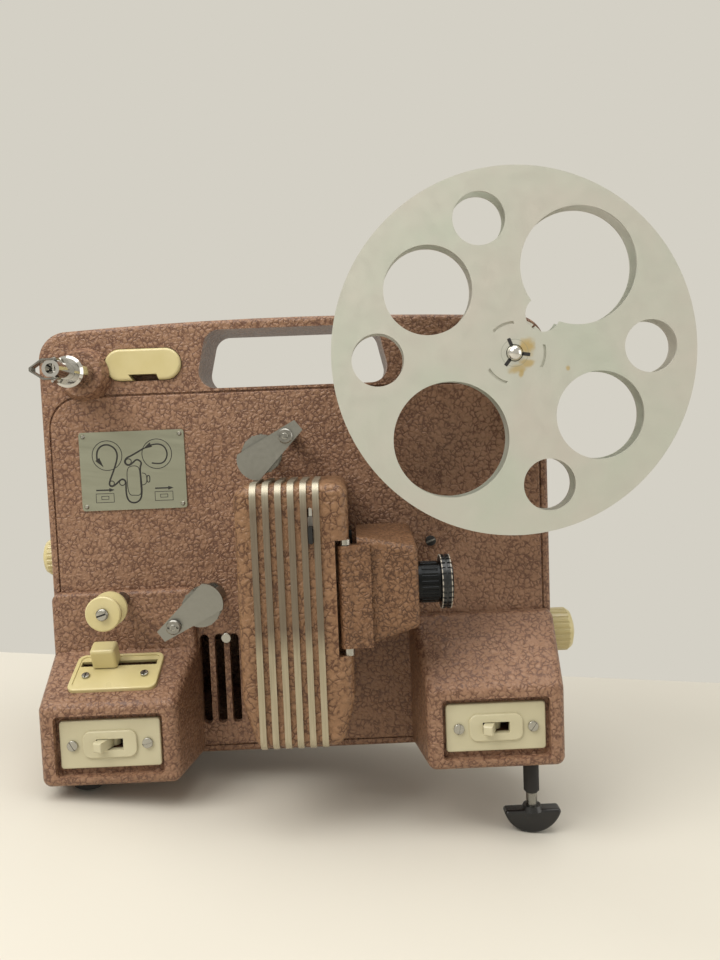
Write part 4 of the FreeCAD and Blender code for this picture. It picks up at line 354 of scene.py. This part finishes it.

# %% [markdown]
# The six ribs on the lamp house are satin strips. Their colour is a painted reflection: one ramp
# that follows the height of the machine keeps the lower half pale and darkens them from the middle
# up, as the room shows in the satin, and a painted highlight lights the top bend. Fine grain runs
# along the strip.

# %% Rib metal
def rib_finish():
    finish, graph, shader, place = open_finish("satin_strip", roughness=0.4, metallic=0.7)
    measure = machine_place(graph, place, 0.0, 0.0, 0.0)
    parts = graph.nodes.new("ShaderNodeSeparateXYZ")
    join(graph, measure, parts.inputs["Vector"])
    height = reach(graph, parts.outputs["Z"], 24.0, 146.0, soft=False)
    # Painted reflection up the ribs: pale low, darker from the middle up, and a painted highlight on
    # the top bend.
    colour = colour_steps(graph, height, [(0.0, srgb(181, 171, 147)), (0.36, srgb(171, 161, 138)),
                                          (0.46, srgb(124, 113, 98)), (0.9, srgb(130, 119, 104)),
                                          (0.97, srgb(172, 165, 147))])
    grain = noise_on(graph, flat_from(graph, measure, (1.6, 1.6, 0.05)), Scale=1.0, Detail=4.0)
    shade = colour_steps(graph, grain.outputs["Fac"],
                         [(0.3, (0.80, 0.79, 0.77)), (0.7, (1.0, 1.0, 1.0))])
    both = add_node(graph, "MixRGB", blend_type="MULTIPLY", Fac=1.0)
    join(graph, colour, both.inputs["Color1"])
    join(graph, shade, both.inputs["Color2"])
    join(graph, both.outputs["Color"], shader.inputs["Base Color"])
    add_bump(graph, shader, grain.outputs["Fac"], 0.1, 0.0001)
    return finish


satin_strip = rib_finish()
print("rib metal", satin_strip.name)

# %% [markdown]
# The plastics have yellowed unevenly. A slow noise mixes two creams, and the roughness
# follows it a little, because handled places are duller. Black parts get the same graph
# with darker values, and rubber is the roughest.

# %% Plastics and rubber
def aged_plastic(name, pale, deep, roughness, scale=45.0, coat=0.0, marks=0.06):
    finish, graph, shader, place = open_finish(name, roughness=roughness)
    slow = noise_on(graph, place, Scale=scale, Detail=3.0)
    tint = colour_steps(graph, slow.outputs["Fac"], [(0.32, deep), (0.68, pale)])
    join(graph, tint, shader.inputs["Base Color"])
    rough = add_node(graph, "MapRange", From_Min=0.3, From_Max=0.7, To_Min=roughness + 0.07,
                     To_Max=max(roughness - 0.07, 0.02))
    join(graph, slow.outputs["Fac"], rough.inputs["Value"])
    join(graph, rough.outputs["Result"], shader.inputs["Roughness"])
    fine = noise_on(graph, place, Scale=900.0, Detail=2.0)
    add_bump(graph, shader, fine.outputs["Fac"], marks, 0.0001)
    shader.inputs["Coat Weight"].default_value = coat
    return finish


cream = aged_plastic("cream", srgb(207, 194, 145), srgb(197, 183, 128), 0.34, coat=0.15)
pale_cream = aged_plastic("pale_cream", srgb(200, 193, 161), srgb(190, 182, 150), 0.4, coat=0.1)
black_gloss = aged_plastic("black_gloss", srgb(30, 29, 28), srgb(20, 19, 19), 0.3)
black_matt = aged_plastic("black_matt", srgb(38, 36, 35), srgb(25, 24, 24), 0.6)
foot_rubber = aged_plastic("foot_rubber", srgb(44, 42, 40), srgb(30, 29, 28), 0.85, marks=0.3)
brown_insulator = aged_plastic("brown_insulator", srgb(92, 58, 40), srgb(70, 42, 30), 0.45)
motor_lacquer = aged_plastic("motor_lacquer", srgb(88, 90, 92), srgb(70, 72, 75), 0.4)
print("plastics", 7)

# %% [markdown]
# Glass needs hardly any pattern to look right: a clear shader with a faint haze, a slight
# blue for the coated lens, and the light does the rest.

# %% Glass
def clear_glass(name, tint, roughness):
    finish, graph, shader, place = open_finish(name, roughness=roughness)
    haze = noise_on(graph, place, Scale=160.0, Detail=2.0)
    low = tuple(c * 0.94 for c in tint)
    colour = colour_steps(graph, haze.outputs["Fac"], [(0.3, low), (0.7, tint)])
    join(graph, colour, shader.inputs["Base Color"])
    shader.inputs["Transmission Weight"].default_value = 1.0
    shader.inputs["IOR"].default_value = 1.5
    return finish


lens_glass = clear_glass("lens_glass", (0.72, 0.78, 0.92), 0.03)
bulb_glass = clear_glass("bulb_glass", (0.95, 0.95, 0.93), 0.05)
print("glass", lens_glass.name, bulb_glass.name)

# %% [markdown]
# The focus ring is black lacquer over bright metal. Its flutes leave narrow lands, and at both ends
# of the ring a row of short bright dashes is painted on the lands: painted highlights where light
# catches the ends of the lands. The dashes sit where two things are true: the place is near an end
# of the ring, and it is as far from the lens axis as only the lands reach. The latch is painted by
# its place in the same way: its tab is black and its slide is bright.

# %% Ring with painted highlights, and latch
RING_MIDDLE = (202.2, -31.4, 94.0)
RING_EDGE = 1.9
LAND_RADIUS = 12.55
LATCH_WALL_BACK = (139.5, -55.35, 122.0)


def ring_finish():
    finish, graph, shader, place = open_finish("ring_painted_glints", roughness=0.32)
    slow = noise_on(graph, place, Scale=400.0, Detail=3.0)
    lacquer = colour_steps(graph, slow.outputs["Fac"],
                           [(0.35, srgb(22, 24, 25)), (0.65, srgb(32, 36, 37))])
    measure = machine_place(graph, place, *RING_MIDDLE)
    parts = graph.nodes.new("ShaderNodeSeparateXYZ")
    join(graph, measure, parts.inputs["Vector"])
    along = add_node(graph, "Math", operation="ABSOLUTE")
    join(graph, parts.outputs["X"], along.inputs[0])
    at_end = reach(graph, along.outputs["Value"], RING_EDGE - 0.15, RING_EDGE + 0.15)
    outward = add_node(graph, "VectorMath", operation="LENGTH")
    join(graph, flat_from(graph, measure, (0.0, 1.0, 1.0)), outward.inputs[0])
    on_land = reach(graph, outward.outputs["Value"], LAND_RADIUS - 0.15, LAND_RADIUS + 0.15)
    # The bright dashes are painted highlights on the ends of the lands.
    painted_glints = times(graph, at_end, on_land)
    join(graph, lay_over(graph, lacquer, srgb(165, 158, 145), painted_glints), shader.inputs["Base Color"])
    return finish


def latch_finish():
    # Bright behind the lamp house wall, black on the finger tab that comes through it.
    finish, graph, shader, place = open_finish("latch_metal", roughness=0.4)
    measure = machine_place(graph, place, *LATCH_WALL_BACK)
    parts = graph.nodes.new("ShaderNodeSeparateXYZ")
    join(graph, measure, parts.inputs["Vector"])
    behind = reach(graph, parts.outputs["Y"], -0.1, 0.1)
    slow = noise_on(graph, place, Scale=300.0, Detail=3.0)
    tab = colour_steps(graph, slow.outputs["Fac"],
                       [(0.35, srgb(13, 13, 13)), (0.65, srgb(20, 20, 19))])
    join(graph, lay_over(graph, tab, srgb(206, 202, 192), behind), shader.inputs["Base Color"])
    return finish


latch_metal = latch_finish()
ring_painted_glints = ring_finish()
print("painted_glints", ring_painted_glints.name, latch_metal.name)

# %% [markdown]
# Now each solid gets its finish. The dictionary reads like a parts list, and the loop
# clears whatever the frame brought and smooths the shading across small facets, while
# edges sharper than thirty degrees stay crisp.

# %% Dress the solids
dress = {
    panel_paint: ["front_housing", "rear_cover"],
    cover_lacquer: ["lamp_cover"],
    door_lacquer: ["lens_door"],
    satin_strip: ["lamp_cover_ribs"],
    dull_sheet: ["reel_front_flange", "reel_rear_flange", "reel_core"],
    polished: ["spindle_collars", "feed_spindle", "takeup_spindle"],
    turned_steel: ["spindle_catch", "sprocket_bushes", "film_posts", "main_shaft",
                   "motor_shaft", "claw_arm", "shutter_disc", "foot_screw",
                   "shaft_brackets", "pressure_plate"],
    smooth_casting: ["upper_keeper", "lower_keeper", "upper_sprocket", "lower_sprocket"],
    plated_screw: ["cover_screws", "control_screws", "panel_fasteners", "door_pin"],
    label_sheet: ["label_plate"],
    brass_metal: ["lamp_socket"],
    dark_anodised: ["lens_barrel", "gate_plate", "light_holders"],
    cream: ["guide_roller", "left_oval_key", "right_oval_key", "inching_knob", "framing_knob",
            "speed_slider", "speed_plate"],
    pale_cream: ["motor_switch_plate", "lamp_switch_plate", "motor_switch_toggle",
                 "lamp_switch_toggle"],
    ring_painted_glints: ["focus_ring"],
    black_gloss: ["foot_grip"],
    latch_metal: ["cover_latch"],
    black_matt: ["mains_inlet", "drive_belts", "cooling_fan"],
    foot_rubber: ["rubber_feet", "foot_sleeve"],
    brown_insulator: ["speed_resistor", "motor_switch_body", "lamp_switch_body"],
    motor_lacquer: ["motor_case"],
    lens_glass: ["lens_glasses", "condenser_lens"],
    bulb_glass: ["lamp_bulb"],
}
dressed = set()
for finish, names in dress.items():
    for name in names:
        solid = nodes[name]
        solid.data.materials.clear()
        solid.data.materials.append(finish)
        bpy.ops.object.select_all(action="DESELECT")
        solid.select_set(True)
        bpy.context.view_layer.objects.active = solid
        bpy.ops.object.shade_smooth_by_angle(angle=math.radians(30))
        dressed.add(name)
print("undressed", sorted(set(nodes) - dressed))

# %% [markdown]
# The label plate shows how the film is threaded: two reels, the path between them, the
# lamp house with its lens, and an arrow over each switch. On the real plate this is one
# thin layer of ink. It could be painted with a texture, but lines made as curves stay
# sharp at any distance. Each line is a curve with a round bevel, and the curves are made
# meshes, joined into one drawing and pressed flat to a fifth of their thickness. The
# widths are in millimetres.

# %% Ink lines
INK_LEVEL = -0.8
INK_FLATNESS = 0.2
FINE_PEN = 0.4
ink = aged_plastic("ink", srgb(34, 32, 29), srgb(26, 24, 22), 0.5)
ink_lines = []


def ink_line(points, width, closed=False, smooth=True):
    curve = bpy.data.curves.new("ink_line", "CURVE")
    curve.dimensions = "3D"
    spline = curve.splines.new("NURBS" if smooth else "POLY")
    spline.points.add(len(points) - 1)
    for point, (x, z) in zip(spline.points, points):
        point.co = (*spot(x, INK_LEVEL, z), 1.0)
    spline.use_cyclic_u = closed
    if smooth:
        spline.order_u = 3
        spline.use_endpoint_u = not closed
    curve.bevel_depth = width * 0.0005
    curve.bevel_resolution = 2
    curve.resolution_u = 6
    curve.use_fill_caps = True
    line = bpy.data.objects.new("ink_line", curve)
    bpy.context.scene.collection.objects.link(line)
    ink_lines.append(line)


def ink_ring(x, z, radius, width, corners=10):
    swing = radius / math.cos(math.pi / corners) ** 0.5
    ink_line([(x + swing * math.cos(a), z + swing * math.sin(a))
              for a in (2 * math.pi * i / corners for i in range(corners))], width, closed=True)

# %% [markdown]
# The path of the film is one stroke, drawn against the way that the film runs: from the empty reel
# round the two lower rollers, under the lamp house, up past the lens and over the upper roller to
# the full reel. Thin rings stand for the reels and the rollers. The points are millimetres on the
# panel, chosen from the plate.

# %% Draw the threading
for x in (33.4, 59.0):
    ink_ring(x, 160.4, 7.7, FINE_PEN, 16)
for x, z, radius in ((35.1, 146.0, 1.25), (40.5, 146.2, 1.5), (44.2, 156.9, 1.5)):
    ink_ring(x, z, radius, 0.5)
film_path = [(28.2, 158.4), (27.9, 161.8), (29.8, 165.2), (33.6, 166.4), (37.4, 164.4),
             (38.8, 161.0), (38.2, 157.4), (36.4, 152.6), (34.0, 147.2), (33.7, 145.0),
             (35.1, 144.2), (37.4, 145.6), (40.4, 148.4), (42.4, 147.0), (42.2, 143.6),
             (42.2, 139.6), (43.2, 136.4), (46.1, 135.2), (49.2, 136.6), (50.3, 140.0),
             (50.3, 146.0), (49.8, 153.4), (51.2, 156.2), (48.6, 158.2), (46.6, 156.4),
             (44.2, 154.6), (42.0, 156.4), (43.0, 158.8), (46.6, 160.2), (52.6, 163.6)]
wound_film = [(55.6, 164.8), (58.8, 165.8), (62.8, 164.6), (64.6, 160.8), (63.6, 157.0),
              (60.6, 154.8), (56.2, 155.8)]
lamp_house = [(43.2, 153.6), (46.2, 154.8), (49.2, 154.2), (49.8, 151.4), (49.8, 145.0),
              (50.0, 141.0), (49.2, 139.2), (46.6, 139.4), (44.2, 139.4), (43.2, 142.0),
              (43.0, 147.0)]
lens_mount = [(50.8, 150.8), (52.6, 150.6), (53.2, 148.6), (53.1, 146.2), (52.2, 144.6),
              (50.6, 144.6)]
lens_ring = [(53.3, 149.4), (54.6, 149.4), (54.8, 147.6), (54.6, 145.9), (53.2, 145.9)]
ink_line(film_path, 0.85)
ink_line(wound_film, 0.75)
ink_line(lamp_house, FINE_PEN, closed=True)
ink_line(lens_mount, FINE_PEN)
ink_line(lens_ring, 0.5, closed=True)
print("ink lines", len(ink_lines))

# %% [markdown]
# The two small pictures of the switches are drawn in straight lines, and every arrow head
# is a short line that starts wide and ends in a point, as a pen would draw it.

# %% Switch pictures and arrow heads
def ink_box(left, right, low, high):
    corners = [(left, low), (right, low), (right, high), (left, high)]
    ink_line(corners, 0.42, closed=True, smooth=False)


def ink_arrow_head(x, z, tip_x, tip_z, width):
    ink_line([(x, z), (tip_x, tip_z)], width, smooth=False)
    ends = ink_lines[-1].data.splines[0].points
    ends[0].radius = 1.0
    ends[1].radius = 0.05


for x in (31.2, 61.6):
    ink_box(x - 4.6, x + 4.6, 136.2, 140.8)
    ink_box(x - 1.8, x + 1.9, 137.8, 139.4)
    ink_line([(x - 4.4, 142.6), (x + 2.4, 142.6)], 0.75, smooth=False)
    ink_arrow_head(x + 2.4, 142.6, x + 5.0, 142.6, 2.0)
ink_arrow_head(28.3, 158.6, 31.2, 154.6, 2.6)
ink_arrow_head(56.2, 165.2, 52.2, 163.2, 2.6)
bpy.ops.object.select_all(action="DESELECT")
for line in ink_lines:
    line.select_set(True)
bpy.context.view_layer.objects.active = ink_lines[0]
bpy.ops.object.convert(target="MESH")
bpy.ops.object.join()
drawing = bpy.context.object
drawing.name = "threading_drawing"
to_plate = Matrix.Translation((0.0, INK_LEVEL * 0.001, 0.0))
flatten = to_plate @ Matrix.Diagonal((1.0, INK_FLATNESS, 1.0, 1.0)) @ to_plate.inverted()
drawing.data.transform(to_row @ flatten @ to_row.inverted())
drawing.data.materials.clear()
drawing.data.materials.append(ink)
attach(drawing, "housing")
bpy.ops.object.select_all(action="DESELECT")
print("drawing faces", len(drawing.data.polygons))

# %% [markdown]
# The guide roller turns on a slotted shoulder screw, and the keeper arms are held by
# studs whose slotted ends show inside their nuts. One head is modelled: a cylinder gets
# its front rim bevelled, two cuts mark the slot, and the strip between them is pushed in.
# The slot has a dark finish, because dirt and shadow keep it black. The ten heads are
# copies of this one.

# %% Slotted heads
HEAD_HEIGHT = 0.3
SLOT_HALF = 0.16
SLOT_DEPTH = 0.2


def pick_faces(piece, wanted):
    # Selects, in edit mode, the faces that pass the test.
    bpy.ops.mesh.select_mode(type="FACE")
    bpy.ops.mesh.select_all(action="DESELECT")
    shape = bmesh.from_edit_mesh(piece.data)
    for face in shape.faces:
        face.select_set(wanted(face))
    bmesh.update_edit_mesh(piece.data)


bpy.ops.object.select_all(action="DESELECT")
bpy.ops.mesh.primitive_cylinder_add(vertices=40, radius=1.0, depth=HEAD_HEIGHT,
                                    location=(0.0, 0.0, HEAD_HEIGHT / 2))
bpy.ops.object.transform_apply(location=True, rotation=True, scale=True)
head = bpy.context.object
head.name = "roller_screw"
bpy.ops.object.mode_set(mode="EDIT")
pick_faces(head, lambda face: face.normal.z > 0.9)
bpy.ops.mesh.bevel(offset=0.14, segments=3, affect="EDGES")
for side in (-SLOT_HALF, SLOT_HALF):
    bpy.ops.mesh.select_all(action="SELECT")
    bpy.ops.mesh.bisect(plane_co=(0.0, side, 0.0), plane_no=(0.0, 1.0, 0.0))
pick_faces(head, lambda face: face.normal.z > 0.95 and abs(face.calc_center_median().y) < SLOT_HALF)
bpy.ops.mesh.extrude_region_move(TRANSFORM_OT_translate={"value": (0.0, 0.0, -SLOT_DEPTH)})
# The floor and the walls of the slot take the second material.
shape = bmesh.from_edit_mesh(head.data)
for face in shape.faces:
    middle = face.calc_center_median()
    if abs(middle.y) < SLOT_HALF + 0.005 and abs(middle.x) < 0.9 and 0.05 < middle.z < 0.29:
        face.material_index = 1
bmesh.update_edit_mesh(head.data)
bpy.ops.object.mode_set(mode="OBJECT")
bpy.ops.object.shade_smooth_by_angle(angle=math.radians(35))
print("head faces", len(head.data.polygons))

# %% [markdown]
# A head is modelled with a radius of one, facing up. To seat it, its mesh is grown to its
# radius and thickness, spun so that its slot points its own way, turned to face out of the
# panel, and moved to its place in millimetres. The two on the speed plate face up from the
# slope of the control block instead.

# %% Seat the heads
BLOCK_EDGE = (0.0, -41.0, 43.0)
BLOCK_SLOPE = math.atan2(18.3, 41.0)
outward = Matrix.Rotation(math.radians(90.0), 4, "X")
on_slope = Matrix.Translation(BLOCK_EDGE) @ Matrix.Rotation(BLOCK_SLOPE, 4, "X")
upright = Matrix.Identity(4)
STUD_HEADS = (("upper_stud_end", (128.8, -44.0, 167.4), 1.5, 0.4, -35.0),
              ("lower_stud_end", (72.4, -44.0, 79.6), 1.5, 0.4, 50.0),
              ("roller_screw", (38.0, -40.0, 86.0), 2.5, 0.6, 17.0))
PLATE_SCREWS = (("motor_plate_screw_left", 20.0, -61.0), ("motor_plate_screw_right", 56.0, 15.0),
                ("lamp_plate_screw_left", 206.0, 78.0), ("lamp_plate_screw_right", 242.0, 55.0))
PLATE_SCREW_FACE = -38.95
PLATE_SCREW_HEIGHT = 22.8


def seat_head(name, base, stand, place, radius, thickness, degrees, finish=plated_screw,
              inside=black_matt):
    piece = bpy.data.objects.new(name, head.data.copy())
    bpy.context.scene.collection.objects.link(piece)
    grow = Matrix.Diagonal((radius, radius, thickness / HEAD_HEIGHT, 1.0))
    spin = Matrix.Rotation(math.radians(degrees), 4, "Z")
    piece.data.transform(to_row @ to_mm @ base @ Matrix.Translation(place) @ stand @ spin @ grow)
    piece.data.materials.append(finish)
    piece.data.materials.append(inside)
    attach(piece, "housing")


for name, place, radius, thickness, degrees in STUD_HEADS:
    seat_head(name, upright, outward, place, radius, thickness, degrees)
for name, x, degrees in PLATE_SCREWS:
    seat_head(name, upright, outward, (x, PLATE_SCREW_FACE, PLATE_SCREW_HEIGHT), 2.56, 0.5, degrees)
for name, x in (("speed_plate_screw_left", 23.5), ("speed_plate_screw_right", 52.5)):
    seat_head(name, on_slope, upright, (x, 19.0, 2.28), 1.95, 0.48, 90.0)
seat_head("panel_screw_right", upright, outward, (199.0, -1.08, 109.5), 2.75, 0.48, 20.0,
          black_gloss, turned_steel)
bpy.data.objects.remove(head)
print("seated heads", 10)

# %% [markdown]
# The reel is driven by three keys on the spindle, which sit in the three slots of its bore and look
# black from the front. The keys are steel; their black finish is painted shade, the dark of the deep
# slots. One key is a cube drawn out to its length, with its outer end narrowed and its edges
# rounded. It is copied and turned by a third each time.

# %% Drive keys
KEY_SIZE = (3.0, 1.75, 0.9)
KEY_MIDDLE = 5.6
KEY_FACE = -36.3
KEY_DEGREES = (-8.0, 112.0, 232.0)
bpy.ops.object.select_all(action="DESELECT")
bpy.ops.mesh.primitive_cube_add(size=1.0, location=(0.0, 0.0, 0.0))
pattern = bpy.context.object
bpy.ops.object.mode_set(mode="EDIT")
bpy.ops.transform.resize(value=KEY_SIZE)
pick_faces(pattern, lambda face: face.normal.x > 0.9)
bpy.ops.mesh.extrude_region_move(TRANSFORM_OT_translate={"value": (0.35, 0.0, 0.0)})
bpy.ops.transform.resize(value=(1.0, 0.75, 0.8))
bpy.ops.mesh.select_all(action="SELECT")
bpy.ops.mesh.bevel(offset=0.15, segments=2, affect="EDGES")
bpy.ops.object.mode_set(mode="OBJECT")
for number, degrees in enumerate(KEY_DEGREES, start=1):
    key = bpy.data.objects.new("drive_key_" + str(number), pattern.data.copy())
    bpy.context.scene.collection.objects.link(key)
    angle = Matrix.Rotation(math.radians(-degrees), 4, "Y")
    place = Matrix.Translation((REEL_SPOT.x, KEY_FACE, REEL_SPOT.z)) @ angle
    key.data.transform(to_row @ to_mm @ place @ Matrix.Translation((KEY_MIDDLE, 0.0, 0.0)) @ outward)
    # Black here is painted shade: the steel keys lie deep in the slots.
    key.data.materials.append(black_matt)
    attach(key, "feed")
bpy.data.objects.remove(pattern)
print("drive keys", 3)

# %% [markdown]
# Behind the slot of the lamp house sits the latch, and behind its slide a bright strip,
# the spring, which shows in the top of the slot. The strip starts as a cube of its size,
# gets a bent-back foot by extruding its lower face, and has its edges rounded.

# %% Latch spring
SPRING_SIZE = (1.7, 0.5, 7.6)
SPRING_MIDDLE = (139.5, -53.0, 131.0)
bpy.ops.mesh.primitive_cube_add(size=1.0, location=(0.0, 0.0, 0.0))
spring = bpy.context.object
spring.name = "latch_spring"
bpy.ops.object.mode_set(mode="EDIT")
bpy.ops.transform.resize(value=SPRING_SIZE)
pick_faces(spring, lambda face: face.normal.z < -0.9)
bpy.ops.mesh.extrude_region_move(TRANSFORM_OT_translate={"value": (0.0, 0.6, -0.8)})
bpy.ops.mesh.select_all(action="SELECT")
bpy.ops.mesh.bevel(offset=0.12, segments=2, affect="EDGES")
bpy.ops.object.mode_set(mode="OBJECT")
spring.data.transform(to_row @ to_mm @ Matrix.Translation(SPRING_MIDDLE))
spring.data.materials.append(polished)
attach(spring, "housing")
bpy.ops.object.select_all(action="DESELECT")
print("latch spring faces", len(spring.data.polygons))

# %% [markdown]
# The table is a pale board whose back edge shows behind the machine. Two pixels of that
# edge in the photograph are sent along the camera's rays to the table's plane, and the
# board runs on past both of them.

# %% Table
BACK_EDGE_LEFT = (0.0, 652.0)
BACK_EDGE_RIGHT = (720.0, 683.0)
FRONT_CORNERS = ((-2.2, -2.0, 0.0), (2.2, -2.0, 0.0))
BEYOND_PHOTO = 1.5
bpy.ops.mesh.primitive_plane_add(size=2.0, location=(0.0, 0.0, 0.0))
table = bpy.context.object
table.name = "table"


def on_table(px, py):
    # Where the camera's ray through a pixel of the 720 by 960 photograph meets the table.
    focal = camera_data.lens / camera_data.sensor_width * PHOTO_HEIGHT
    across = camera_right * ((px - PHOTO_WIDTH / 2) / focal)
    ray = camera_ahead + across + camera_down * ((py - PHOTO_HEIGHT / 2) / focal)
    return camera_place - ray * (camera_place.z / ray.z)


back_left = on_table(*BACK_EDGE_LEFT)
back_right = on_table(*BACK_EDGE_RIGHT)
along = (back_right - back_left).normalized()
back_left -= along * BEYOND_PHOTO
back_right += along * BEYOND_PHOTO
for corner, place in zip(table.data.vertices, (*FRONT_CORNERS, back_left, back_right)):
    corner.co = place
bpy.ops.object.select_all(action="DESELECT")
board, graph, shader, place = open_finish("board", roughness=0.55)
cloud = noise_on(graph, place, Scale=2.5, Detail=3.0)
tone = colour_steps(graph, cloud.outputs["Fac"],
                    [(0.3, srgb(213, 208, 195)), (0.7, srgb(218, 213, 200))])
join(graph, tone, shader.inputs["Base Color"])
table.data.materials.append(board)
print("table corners", [tuple(round(v, 2) for v in corner.co) for corner in table.data.vertices])

# %% [markdown]
# Daylight comes from a large window at the left and from above, and a little of it comes
# back from the right. Three area lamps stand for these. The world's light fills the
# shadows, and a second background gives the colour of the wall to the rays that see it.

# %% World and lamps
world = bpy.data.worlds.new("room")
bpy.context.scene.world = world
world.use_nodes = True
graph = world.node_tree
graph.nodes.clear()
output = add_node(graph, "OutputWorld")


def background(colour, strength):
    node = add_node(graph, "Background", Strength=strength)
    node.inputs["Color"].default_value = (*colour, 1.0)
    return node.outputs["Background"]


def either(first, second):
    node = add_node(graph, "Math", operation="MAXIMUM")
    join(graph, first, node.inputs[0])
    join(graph, second, node.inputs[1])
    return node.outputs["Value"]


rays = add_node(graph, "LightPath")
seen = either(rays.outputs["Is Camera Ray"], rays.outputs["Is Glossy Ray"])
seen = either(seen, rays.outputs["Is Transmission Ray"])
mix = add_node(graph, "MixShader")
join(graph, seen, mix.inputs["Fac"])
join(graph, background(srgb(235, 232, 226), 0.5), mix.inputs[1])
join(graph, background(srgb(212, 208, 197), 1.0), mix.inputs[2])
join(graph, mix.outputs["Shader"], output.inputs["Surface"])


def add_lamp(name, place, aim, size, power, colour):
    data = bpy.data.lights.new(name, "AREA")
    data.size = size
    data.energy = power
    data.color = colour
    lamp = bpy.data.objects.new(name, data)
    bpy.context.scene.collection.objects.link(lamp)
    lamp.location = place
    lamp.rotation_euler = (Vector(aim) - Vector(place)).to_track_quat("-Z", "Y").to_euler()


add_lamp("window", (-0.85, -0.75, 1.1), (0.0, 0.0, 0.12), 0.8, 14.5, (1.0, 0.98, 0.95))
add_lamp("sky", (-0.1, -0.15, 1.45), (0.0, 0.0, 0.1), 1.1, 12.0, (1.0, 0.99, 0.97))
add_lamp("bounce", (1.1, -0.35, 0.5), (0.0, 0.0, 0.12), 0.8, 3.0, (1.0, 0.97, 0.92))
bpy.context.scene.view_settings.view_transform = "Standard"
print("lamps", 3)
